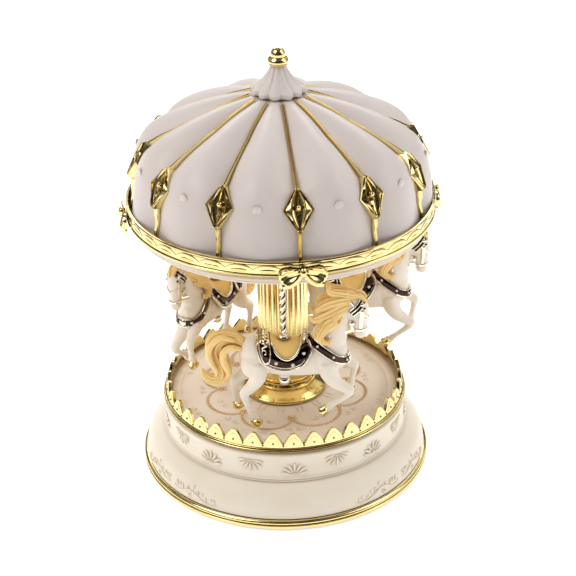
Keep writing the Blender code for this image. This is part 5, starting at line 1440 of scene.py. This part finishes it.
def carve(bm):
    """Presses muzzle, mouth and muscle lines into the skin."""
    for vert in bm.verts:
        x, y, z = vert.co
        side = abs(y)
        mouth = math.exp(-((z - 67.3 - 0.3 * (x - 27.6)) / 0.28) ** 2) * fading(x - 28.9, 2.2)
        nostril = math.exp(-(((x - 29.3) / 0.45) ** 2 + ((z - 68.6) / 0.5) ** 2)) * min(1.0, side / 0.8)
        stifle = math.exp(-((x + 5.2 - 0.35 * (z - 56.0)) / 1.0) ** 2) * fading(z - 54.6, 5.0)
        shoulder = math.exp(-((x - 11.6 + 0.3 * (z - 60.0)) / 1.1) ** 2) * fading(z - 59.0, 6.0)
        round_eye = ((x - 25.2) ** 2 + (z - 78.2) ** 2) ** 0.5 - 3.0
        cheek = math.exp(-round_eye ** 2 / 0.18) * fading(side, 9.0)
        sink = 0.28 * mouth + 0.4 * nostril + 0.45 * stifle + 0.4 * shoulder + 0.22 * cheek * (z < 82.0)
        vert.co -= vert.normal * sink


def finished_body():
    """The carved skin with the pole's hole through back and belly, as a mesh in millimetres."""
    item = fused_body()
    bm = reopen(item.data)
    scale(bm, 1.0 / MM)
    bm.normal_update()
    carve(bm)
    bm.normal_update()
    scale(bm, MM)
    bm.to_mesh(item.data)
    drill(item, (0.0, 0.0, 60.0), BORE_R, 40.0, 28)
    bm = reopen(item.data)
    scale(bm, 1.0 / MM)
    bpy.data.objects.remove(item, do_unlink=True)
    mesh = bpy.data.meshes.new("horse_local")
    bm.to_mesh(mesh)
    return mesh


def hoof(bm, leg):
    """Flared hoof with a coronet band, set on the end of a leg."""
    end = Vector(leg[-1][:3])
    along = (end - Vector(leg[-3][:3])).normalized()
    forward = along.cross(LEFT).normalized()
    start = end - along * 0.7
    loops = []
    for share, radius in HOOF:
        centre = start + along * HOOF_LENGTH * share
        loops.append([centre + (LEFT * math.cos(turn) * 0.95 + forward * math.sin(turn) * 1.05) * radius
                      for turn in around(24)])
    loft(bm, loops)
    ball(bm, start + along * HOOF_LENGTH, 0.8)


def hair_pieces(name, place):
    bm = bmesh.new()
    for side in SIDES:
        for lock in LOCKS:
            path = [(x, y * side, z, thin, wide) for x, y, z, thin, wide in lock]
            tube(bm, smooth_path(path, 6), 36, 0.2, 9)
    for lock in FORELOCKS:
        tube(bm, smooth_path(lock, 6), 24, 0.2, 6)
    piece(f"mane_{name}", bm, OCHRE, f"horse_{name}", (), place)

    bm = bmesh.new()
    tube(bm, smooth_path(TAIL, 7), 48, 0.22, 11)
    for side in SIDES:
        for strand in TAIL_STRANDS:
            path = round_stations([(x, y * side * -1.0, z, radius) for x, y, z, radius in strand])
            tube(bm, smooth_path(path, 6), 20, 0.15, 5)
    piece(f"tail_{name}", bm, OCHRE, f"horse_{name}", (), place)


RING_STEPS = 36
RING_LIFT = 0.12
OUTSIDE = 14.0
PLATE_FROM = (24.2, 77.4)
PLATE_TO = (28.3, 82.0)


def ring_round(bm, tree, centre, axis, reach, thick, height):
    """Strap that hugs the skin: rays from outside find it round an axis through centre."""
    axis = Vector(axis).normalized()
    first = axis.cross(LEFT).normalized()
    second = axis.cross(first)
    loops = []
    for step in range(RING_STEPS):
        turn = math.radians(360.0 * step / RING_STEPS)
        out = first * math.cos(turn) + second * math.sin(turn)
        hit, _normal, _index, _far = tree.ray_cast(Vector(centre) + out * OUTSIDE, -out, OUTSIDE)
        spot = (hit if hit else Vector(centre) + out * reach) + out * RING_LIFT
        loops.append([spot + out * thick * math.sin(a) + axis * height * math.cos(a)
                      for a in around(8)])
    loft(bm, loops, closed=True)


def skin_point(tree, x, z, side):
    """Where the skin is, seen straight from one side; the middle plane where there is none."""
    start = Vector((x, OUTSIDE * side, z))
    hit, _normal, _index, _far = tree.ray_cast(start, Vector((0.0, -side, 0.0)), OUTSIDE)
    return hit if hit else Vector((x, 1.2 * side, z))


def side_strip(bm, tree, start, end, half, thick, side, steps=12, columns=6):
    """Flat strap laid on the side of the head between two (x, z) points."""
    along = heading((start, end), 0)
    across = Vector((-along.y, along.x))

    def both_points(i, j):
        share = 2.0 * j / columns - 1.0
        at = Vector(start).lerp(Vector(end), i / steps) + across * half * share
        skin = skin_point(tree, at.x, at.y, side)
        rise = thick * (1.0 - 0.5 * abs(share) ** 3)
        return skin + Vector((0.0, rise * side, 0.0)), skin - Vector((0.0, 0.3 * side, 0.0))

    sheet(bm, steps + 1, columns + 1, both_points)


def edge_line(bm, tree, start, end, shift, thick, side, steps=12):
    """Bright bead along one edge of a strap on the side of the head."""
    along = heading((start, end), 0)
    across = Vector((-along.y, along.x))
    stations = []
    for i in range(steps + 1):
        at = Vector(start).lerp(Vector(end), i / steps) + across * shift
        skin = skin_point(tree, at.x, at.y, side)
        stations.append((skin.x, skin.y + 0.35 * side, skin.z, thick, thick))
    tube(bm, stations, 8)


def bridle_piece(name, place, tree):
    """Broad cheek piece, cheek strap, noseband, crown strap and bit rings."""
    node = f"saddle_{name}"
    plates = bmesh.new()
    bm = bmesh.new()
    for side in SIDES:
        side_strip(plates, tree, PLATE_FROM, PLATE_TO, 1.15, 0.45, side)
        for shift in (-1.2, 0.0, 1.2):
            edge_line(bm, tree, PLATE_FROM, PLATE_TO, shift, 0.26, side)
        side_strip(bm, tree, (28.1, 78.4), (27.7, 71.2), 0.72, 0.5, side)
        ball(bm, (24.5, 1.9 * side, 73.0), 1.05, (1.0, 0.5, 1.0), detail=3)
        ball(bm, skin_point(tree, 28.0, 80.9, side), 1.0, (0.9, 0.6, 0.9))
    ring_round(bm, tree, (27.6, 0.0, 70.2), (-0.1, 0.0, 1.0), 2.5, 0.3, 0.55)
    ring_round(bm, tree, (25.4, 0.0, 80.6), (0.75, 0.0, 0.65), 3.2, 0.24, 0.5)
    piece(f"bridle_{name}", bm, SILVER, node, (), place)
    # near-black cheek plates: painted dark reflection
    piece(f"bridle_plates_{name}", plates, DARK_REFLECTION_PLATE, node, (), place)


def eye_piece(name, place, tree):
    bm = bmesh.new()
    for side in SIDES:
        ball(bm, skin_point(tree, 28.9, 79.4, side), 0.5, (1.1, 0.6, 0.9))
    piece(f"eyes_{name}", bm, DARK, f"horse_{name}", (), place)


# ---- saddles --------------------------------------------------------------------------------
SADDLE_CLEAR = 0.55
TRUNK_FINE = smooth_path(TRUNK, 8)
TRUNK_MIDDLE = [(row[0], row[1]) for row in TRUNK_FINE]
TRUNK_SIDE = [(row[0], row[2]) for row in TRUNK_FINE]
TRUNK_PLANE = [(row[0], row[3]) for row in TRUNK_FINE]


def on_trunk(x, turn_deg, lift):
    """Point over the horse's barrel; 0 is the back and 90 the side that has -Y."""
    turn = math.radians(turn_deg)
    side_r = lookup(TRUNK_SIDE, x) + SADDLE_CLEAR + lift
    plane_r = lookup(TRUNK_PLANE, x) + SADDLE_CLEAR + lift
    return Vector((x, -side_r * math.sin(turn), lookup(TRUNK_MIDDLE, x) + plane_r * math.cos(turn)))


# outline of the seat and of the flap beneath it, from back to front round the foot, as (x, turn)
SEAT_EDGE = ((-4.3, 4.0), (-4.4, 20.0), (-3.9, 40.0), (-2.2, 62.0), (0.9, 72.0), (3.9, 62.0),
             (5.7, 40.0), (6.2, 20.0),
             (6.1, 4.0))
FLAP_EDGE = ((-9.3, 8.0), (-9.4, 30.0), (-9.2, 62.0), (-7.4, 92.0), (-0.4, 104.0), (6.0, 92.0),
             (9.0, 66.0),
             (9.9, 44.0), (8.6, 14.0))
TURN_MM = 0.11


def flat_place(side, lift_base=0.0):
    """Lets a stroke be drawn on the barrel with a in x and b in millimetres of arc."""
    return lambda a, b, lift: on_trunk(a, side * b / TURN_MM, lift + lift_base)


def arc_path(edge):
    return [(x, turn * TURN_MM) for x, turn in edge]


SEAT_LINE = smooth_path(SEAT_EDGE, 6)
FLAP_LINE = smooth_path(FLAP_EDGE, 6)
PEARL_SPOTS = ((-2.9, 84.0), (3.2, 86.0), (7.2, 57.0))
# raised frame of the scroll panel behind the seat and the stem between its two curls
PANEL = smooth_path(((-8.9, 1.4), (-8.9, 4.4), (-8.3, 7.4), (-6.9, 9.7), (-5.3, 8.9), (-4.9, 6.2),
                     (-5.2, 3.4), (-5.2, 1.4)), 4)
PANEL_STEM = smooth_path(((-6.3, 2.5), (-5.9, 4.4), (-7.7, 5.6), (-7.6, 7.6)), 5)
PANEL_CURLS = (spiral((-6.9, 3.6), 1.25, 0.2, -60.0, 300.0, 16),
               spiral((-6.9, 6.8), 1.25, 0.2, 120.0, 480.0, 16))


def trunk_sheet(bm, rows, columns, x_turn_rise, foot=0.0):
    """Plate over the barrel; x_turn_rise(row, column) gives place and height of its top."""
    def both_points(i, j):
        x, turn, rise = x_turn_rise(i, j)
        return on_trunk(x, turn, rise), on_trunk(x, turn, foot)

    sheet(bm, rows, columns, both_points)


def saddle_seat(bm):
    """Ochre seat over the back, slightly dished between pommel and cantle."""
    def surface(i, j):
        x = -4.9 + 11.4 * i / 24
        share = (x - 0.9) / 5.7
        reach = 73.0 * math.sqrt(max(0.04, 1.0 - min(1.0, abs(share)) ** 2.4))
        turn = reach * (2.0 * j / 32 - 1.0)
        return x, turn, 0.5 + 1.1 * max(0.0, -share) ** 3 * math.cos(math.radians(turn)) ** 2

    trunk_sheet(bm, 25, 33, surface, 0.05)


def saddle_flap(bm, side):
    """Dark flap between the seat and the outer rim."""
    def surface(i, j):
        share = j / 8
        x0, t0 = SEAT_LINE[i]
        x1, t1 = FLAP_LINE[i]
        rise = 0.45 + 0.25 * math.sin(math.pi * share)
        return x0 + (x1 - x0) * share, side * (t0 + (t1 - t0) * share), rise

    trunk_sheet(bm, len(SEAT_LINE), 9, surface)


def saddle_cantle(bm):
    """Raised roll behind the seat, carved in overlapping scales."""
    def surface(i, j):
        share = i / 40
        turn = 40.0 * (2.0 * j / 60 - 1.0)
        swell = math.sin(math.pi * share) ** 0.7
        scallop = abs(math.sin(math.pi * (j / 7.5 + 0.5 * (i // 8))))
        relief = 1.1 * (i % 8) / 8 * scallop ** 0.5 - 0.4
        rise = 0.4 + (2.2 + relief) * swell * math.cos(math.radians(turn * 1.9)) ** 0.5
        return -10.2 + 5.6 * share, turn, rise

    trunk_sheet(bm, 41, 61, surface)


def saddle_pommel(bm):
    """Rounded bright roll in front of the seat with a knob on top."""
    def surface(i, j):
        share = i / 10
        turn = 30.0 * (2.0 * j / 28 - 1.0)
        rise = 0.4 + 2.2 * math.sin(math.pi * share) ** 0.6 * math.cos(math.radians(turn * 2.4)) ** 0.8
        return 6.2 + 2.9 * share, turn, rise

    trunk_sheet(bm, 11, 29, surface)
    ball(bm, on_trunk(7.7, 0.0, 2.6), 1.15, (0.9, 1.3, 0.9), detail=3)


def saddle_lines(bm, side):
    """Bright rims of seat and flap, the inset line and the scroll panel of one side."""
    where = flat_place(side, 0.45)
    stroke(bm, arc_path(SEAT_LINE), 0.5, 0.75, where, 8, 0.4)
    stroke(bm, arc_path(FLAP_LINE), 0.4, 0.6, where, 8, 0.4)
    inset = [(x * 0.93 + 0.05, turn * 0.93 * TURN_MM) for x, turn in FLAP_LINE[10:]]
    stroke(bm, inset, 0.16, 0.35, where, 5, 0.3)
    stroke(bm, PANEL, 0.42, 0.95, where, 7, 0.4)
    for curl in PANEL_CURLS:
        stroke(bm, curl, 0.26, 0.7, where, 6)
    stroke(bm, PANEL_STEM, leaf(0.34, 0.4), 0.7, where, 6)


def pearl_settings(bm, side):
    """Ring of tiny beads round each pearl."""
    for x, turn in PEARL_SPOTS:
        spot = on_trunk(x, side * turn, 0.6)
        for a in around(12):
            ball(bm, spot + Vector((0.62 * math.cos(a), 0.0, 0.62 * math.sin(a))), 0.17, detail=1)


def saddle_pieces(name, place):
    node = f"saddle_{name}"
    bm = bmesh.new()
    saddle_seat(bm)
    piece(f"saddle_seat_{name}", bm, SEAT, node, (), place)

    bm = bmesh.new()
    for side in SIDES:
        saddle_flap(bm, side)
    # near-black flap: painted dark reflection
    piece(f"saddle_flap_{name}", bm, DARK_REFLECTION_PLATE, node, [node], place)

    bm = bmesh.new()
    for side in SIDES:
        saddle_lines(bm, side)
    saddle_pommel(bm)
    for side in SIDES:
        pearl_settings(bm, side)
    piece(f"saddle_rims_{name}", bm, SILVER, node, (), place)

    bm = bmesh.new()
    for side in SIDES:
        for x, turn in PEARL_SPOTS:
            ball(bm, on_trunk(x, side * turn, 0.75), 0.52)
    saddle_pearls_on_strap(bm)
    piece(f"saddle_pearls_{name}", bm, PEARL, node, (), place)

    bm = bmesh.new()
    saddle_cantle(bm)
    piece(f"saddle_cantle_{name}", bm, GLITTER, node, (), place)


# middle of the breast strap from the pommel round the chest, side offset given for the +Y side
STRAP = ((8.8, 3.2, 67.8), (11.6, 6.0, 66.2), (15.0, 7.2, 63.9), (18.6, 6.6, 61.2), (21.4, 4.4, 59.4),
         (23.0, 2.0, 58.8), (23.6, 0.0, 58.7))
STRAP_HALF = 1.3
STRAP_FAR = 20.0
STRAP_SECTION = ((-STRAP_HALF, -0.6), (-STRAP_HALF, 0.4), (-0.7, 0.55), (0.0, 0.6), (0.7, 0.55),
                 (STRAP_HALF, 0.4), (STRAP_HALF, -0.6))
BEAD_OFFSET = STRAP_HALF + 0.2


def strap_samples(tree):
    """Points of the strap's middle line laid on the skin, with outward and upward directions."""
    half = smooth_path(STRAP, 6)
    path = half + [(x, -y, z) for x, y, z in reversed(half[:-1])]
    samples = []
    for x, y, z in path:
        aim = Vector((x, y, z))
        inner = Vector((min(x, 18.0) * 0.85 + 1.5, 0.0, z - 0.8))
        out = (aim - inner).normalized()
        hit, _normal, _index, _far = tree.ray_cast(inner + out * STRAP_FAR, -out, STRAP_FAR)
        samples.append([hit if hit else aim, out])
    for _round in range(3):
        points = [row[0] for row in samples]
        for i in range(1, len(samples) - 1):
            samples[i][0] = (points[i - 1] + points[i] * 2.0 + points[i + 1]) / 4.0
    return samples


STRAP_LINE = []


def breast_strap_piece(name, place, tree):
    """Dark band with bright rims round the chest, from pommel to pommel."""
    samples = strap_samples(tree)
    STRAP_LINE.clear()
    band = []
    rims = ([], [])
    for i, (spot, out) in enumerate(samples):
        before = samples[max(0, i - 1)][0]
        after = samples[min(len(samples) - 1, i + 1)][0]
        along = (after - before).normalized()
        up = out.cross(along).normalized()
        if up.z < 0.0:
            up = -up
        STRAP_LINE.append((spot, out, up))
        band.append([spot + up * a + out * b for a, b in STRAP_SECTION])
        for rim, edge in zip(rims, (-STRAP_HALF, STRAP_HALF)):
            rim.append([spot + up * (edge + 0.3 * math.cos(a)) + out * (0.5 + 0.36 * math.sin(a))
                        for a in around(8)])
    bm = bmesh.new()
    loft(bm, band)
    # near-black band: painted dark reflection
    piece(f"breast_strap_{name}", bm, DARK_REFLECTION_PLATE, f"saddle_{name}", (), place)
    bm = bmesh.new()
    for rim in rims:
        loft(bm, rim)
    middle = len(STRAP_LINE) // 2
    for number in range(-3, 4):
        spot, out, up = STRAP_LINE[middle + number * 2]
        ball(bm, spot + out * 0.6 - up * BEAD_OFFSET, 0.62)
        ball(bm, spot + out * 0.6 + up * BEAD_OFFSET, 0.62)
    spot, out, up = STRAP_LINE[middle]
    ball(bm, spot + out * 0.8, 1.5, (0.5, 1.0, 1.0), detail=3)
    piece(f"breast_strap_rims_{name}", bm, SILVER, f"saddle_{name}", (), place)


def saddle_pearls_on_strap(bm):
    last = len(STRAP_LINE) - 1
    for share in (0.1, 0.24, 0.38):
        for index in (int(last * share), last - int(last * share)):
            spot, out, _up = STRAP_LINE[index]
            ball(bm, spot + out * 0.95, 0.48)


def belly_cup_piece(name, place):
    """Pale cup that caps the pole hole under the belly."""
    bm = bmesh.new()
    low = lookup(TRUNK_MIDDLE, 0.0) - lookup(TRUNK_PLANE, 0.0)
    revolve(bm, ((BORE_R, low + 1.2), (2.0, low + 1.2), (2.3, low + 0.4), (2.3, low - 0.4),
                 (2.0, low - 0.9),
                 (1.7, low - 1.0), (BORE_R, low - 0.6)), 32)
    piece(f"belly_cup_{name}", bm, PEARL, f"saddle_{name}", (), place)


def horse_pieces():
    local = finished_body()
    tree = BVHTree.FromBMesh(reopen(local))
    for name in HEADINGS:
        place = horse_place(name)
        piece(f"horse_body_{name}", reopen(local), HORSE, f"horse_{name}", [f"horse_{name}"], place)
        bm = bmesh.new()
        for leg in LEGS:
            hoof(bm, leg)
        piece(f"hoofs_{name}", bm, GOLD, f"horse_{name}", (), place)
        hair_pieces(name, place)
        eye_piece(name, place, tree)
        bridle_piece(name, place, tree)
        breast_strap_piece(name, place, tree)
        saddle_pieces(name, place)
        belly_cup_piece(name, place)
        pole_pieces(name)


# ---- poles ----------------------------------------------------------------------------------
TWIST_FOOT = 19.8
TWIST_STOP = 15.0
TWIST_FADE = 1.5
TWIST_STEPS = 120
TWIST_RATE = math.radians(56.0)
POLE_END_R = 0.85


def pole_pieces(name):
    """Barley-twist bar with a collar at the saddle and a knob at its foot."""
    place = hanger_place(name)
    bm = bmesh.new()
    low = POLE_LOW.z
    high = POLE_HIGH.z
    twist_low = low + TWIST_FOOT
    twist_high = high - TWIST_STOP
    levels = [low, low + 0.3, twist_low - 0.4, twist_low]
    levels += [twist_low + (twist_high - twist_low) * step / TWIST_STEPS
               for step in range(1, TWIST_STEPS + 1)]
    levels += [twist_high + 0.4, high - 0.2, high]
    loops = []
    for level in levels:
        share = min(1.0, max(0.0, (level - twist_low) / TWIST_FADE))
        share *= min(1.0, max(0.0, (twist_high - level) / TWIST_FADE))
        turn_base = (level - twist_low) * TWIST_RATE
        loop = []
        for turn in around(24):
            wave = abs(math.cos(turn - turn_base)) ** 0.8
            radius = 1.1 + share * (0.62 * wave - 0.42)
            if level in (low, high):
                radius = POLE_END_R
            loop.append(Vector((radius * math.cos(turn), radius * math.sin(turn), level)))
        loops.append(loop)
    loft(bm, loops)
    revolve(bm, ((1.0, twist_low - 1.4), (2.0, twist_low - 1.3), (2.3, twist_low - 0.7),
                 (2.0, twist_low - 0.2),
                 (1.5, twist_low + 0.2), (1.0, twist_low + 0.3)), 32)
    piece(f"twisted_pole_{name}", bm, SILVER, f"pole_{name}", [f"pole_{name}"], place)

    bm = bmesh.new()
    low = KNOB_LOW.z
    high = KNOB_HIGH.z
    outline = smooth_path(((1.35, 0.0), (1.6, 0.05), (1.9, 0.6), (2.05, 1.4), (1.9, 2.1), (1.7, 2.5),
                           (1.4, high - low)), 3)
    bore = [(1.3, high - 0.2), (1.3, low + 0.2)]
    revolve(bm, [(radius, low + rise) for radius, rise in outline] + bore, 32)
    piece(f"pole_knob_turned_{name}", bm, SILVER, f"pole_knob_{name}", [f"pole_knob_{name}"], place)


# ---- studio ---------------------------------------------------------------------------------
LENS = 93.9
SENSOR = 36.0
AIM_HEIGHT = 0.0708
DISTANCE = 0.5658
ELEVATION = math.radians(28.46)
YAW = math.radians(0.208)
ROLL = math.radians(-1.149)


def camera():
    """Long lens from the front, looking down at about 28 degrees."""
    forward = Vector((0.0, math.cos(ELEVATION), -math.sin(ELEVATION)))
    right = Vector((1.0, 0.0, 0.0))
    up = right.cross(forward)
    place = Vector((0.0, 0.0, AIM_HEIGHT)) - forward * DISTANCE
    look = forward * math.cos(YAW) + right * math.sin(YAW)
    across = right * math.cos(YAW) - forward * math.sin(YAW)
    rolled = across * math.cos(ROLL) + up * math.sin(ROLL)
    above = up * math.cos(ROLL) - across * math.sin(ROLL)
    basis = Matrix((rolled, above, -look)).transposed().to_4x4()
    data = bpy.data.cameras.new("camera")
    data.lens = LENS
    data.sensor_width = SENSOR
    data.clip_start = 0.01
    made = bpy.data.objects.new("camera", data)
    made.matrix_world = Matrix.Translation(place) @ basis
    bpy.context.scene.collection.objects.link(made)
    bpy.context.scene.camera = made


def area_light(name, place, target, size, power, tint=WHITE_LIGHT):
    data = bpy.data.lights.new(name, "AREA")
    data.shape = "RECTANGLE"
    data.size = size[0]
    data.size_y = size[1]
    data.energy = power
    data.color = tint
    made = bpy.data.objects.new(name, data)
    aim = Vector(target) - Vector(place)
    made.location = place
    made.rotation_euler = aim.to_track_quat("-Z", "Y").to_euler()
    bpy.context.scene.collection.objects.link(made)


VIEWER_SIDE = (0.05, -0.93, 0.36)
# brightness of the tent from behind the object to the viewer's side
TENT_SHADES = ((0.0, (1.0, 1.0, 0.98)), (0.4, (0.84, 0.84, 0.83)), (0.7, (0.34, 0.33, 0.31)),
               (0.95, (0.13, 0.12, 0.11)))
# dark patches that only the bright metal mirrors
TENT_PATCHES = (
    (0.38, (1.0, 1.0, 1.0)), (0.45, (0.5, 0.44, 0.38)), (0.5, (0.06, 0.045, 0.035)),
    (0.56, (0.06, 0.045, 0.035)),
    (0.61, (0.5, 0.46, 0.4)), (0.66, (1.0, 1.0, 1.0)),
)
TENT_STRENGTH = 0.82
FLOOR_SIZE = 3.0
FLOOR_DROP = 0.0002
BODY_MIDDLE = (0.0, 0.0, 0.08)
CANOPY_MIDDLE = (0.0, 0.0, 0.12)


def surround():
    """White tent: pure white to the camera, darker toward the viewer for everything that it lights."""
    world = bpy.data.worlds.new("tent")
    bpy.context.scene.world = world
    world.use_nodes = True
    tree = world.node_tree
    tree.nodes.clear()
    out = add_node(tree, "ShaderNodeOutputWorld")
    coords = add_node(tree, "ShaderNodeTexCoord")
    facing = add_node(tree, "ShaderNodeVectorMath", operation="DOT_PRODUCT")
    facing.inputs[1].default_value = VIEWER_SIDE
    tree.links.new(coords.outputs["Generated"], facing.inputs[0])
    shade = ramp(tree, facing.outputs["Value"], TENT_SHADES)
    pattern = add_node(tree, "ShaderNodeTexNoise", {"Scale": 2.2, "Detail": 1.0})
    tree.links.new(coords.outputs["Generated"], pattern.inputs["Vector"])
    patches = ramp(tree, pattern.outputs["Fac"], TENT_PATCHES)
    light_path = add_node(tree, "ShaderNodeLightPath")
    mirrored = add_node(tree, "ShaderNodeMix", data_type="RGBA", blend_type="MULTIPLY")
    tree.links.new(light_path.outputs["Is Glossy Ray"], mirrored.inputs[0])
    tree.links.new(shade, mirrored.inputs[6])
    tree.links.new(patches, mirrored.inputs[7])
    seen = add_node(tree, "ShaderNodeBackground", {"Color": (1.0, 1.0, 1.0, 1.0), "Strength": 1.0})
    lit = add_node(tree, "ShaderNodeBackground", {"Strength": TENT_STRENGTH})
    tree.links.new(mirrored.outputs[2], lit.inputs["Color"])
    choose = add_node(tree, "ShaderNodeMixShader")
    tree.links.new(light_path.outputs["Is Camera Ray"], choose.inputs[0])
    tree.links.new(lit.outputs[0], choose.inputs[1])
    tree.links.new(seen.outputs[0], choose.inputs[2])
    tree.links.new(choose.outputs[0], out.inputs["Surface"])


def floor():
    """Plain pale sweep under the object."""
    bm = bmesh.new()
    bmesh.ops.create_grid(bm, x_segments=8, y_segments=8, size=FLOOR_SIZE)
    made, tree, shader = start_look("pale_floor")
    tone = blend_colours(tree, noise(tree, 3.0), (0.93, 0.93, 0.93), (0.95, 0.95, 0.95))
    tree.links.new(tone, shader.inputs["Base Color"])
    shader.inputs["Roughness"].default_value = 0.9
    shader.inputs["Specular IOR Level"].default_value = 0.1
    shader.inputs["Emission Color"].default_value = (1.0, 1.0, 1.0, 1.0)
    shader.inputs["Emission Strength"].default_value = 0.5
    item = put_in_scene(bm, "floor")
    item.data.materials.append(made)
    item.location = (0.0, 0.0, -FLOOR_DROP)


def studio():
    bpy.context.scene.view_settings.view_transform = "Standard"
    surround()
    floor()
    area_light("key", (-0.5, -0.25, 0.75), BODY_MIDDLE, (0.5, 0.5), 2.6, (1.0, 0.98, 0.96))
    area_light("fill", (0.6, -0.1, 0.5), BODY_MIDDLE, (0.4, 0.6), 1.2)
    area_light("back", (0.0, 0.6, 0.6), CANOPY_MIDDLE, (0.8, 0.3), 2.0)
    camera()


def main():
    dress_frame()
    base_pieces()
    deck_pieces()
    edging_piece()
    column_pieces()
    canopy_piece()
    cage_piece()
    soffit_piece()
    cap_pieces()
    bow_pieces()
    horse_pieces()
    studio()


main()
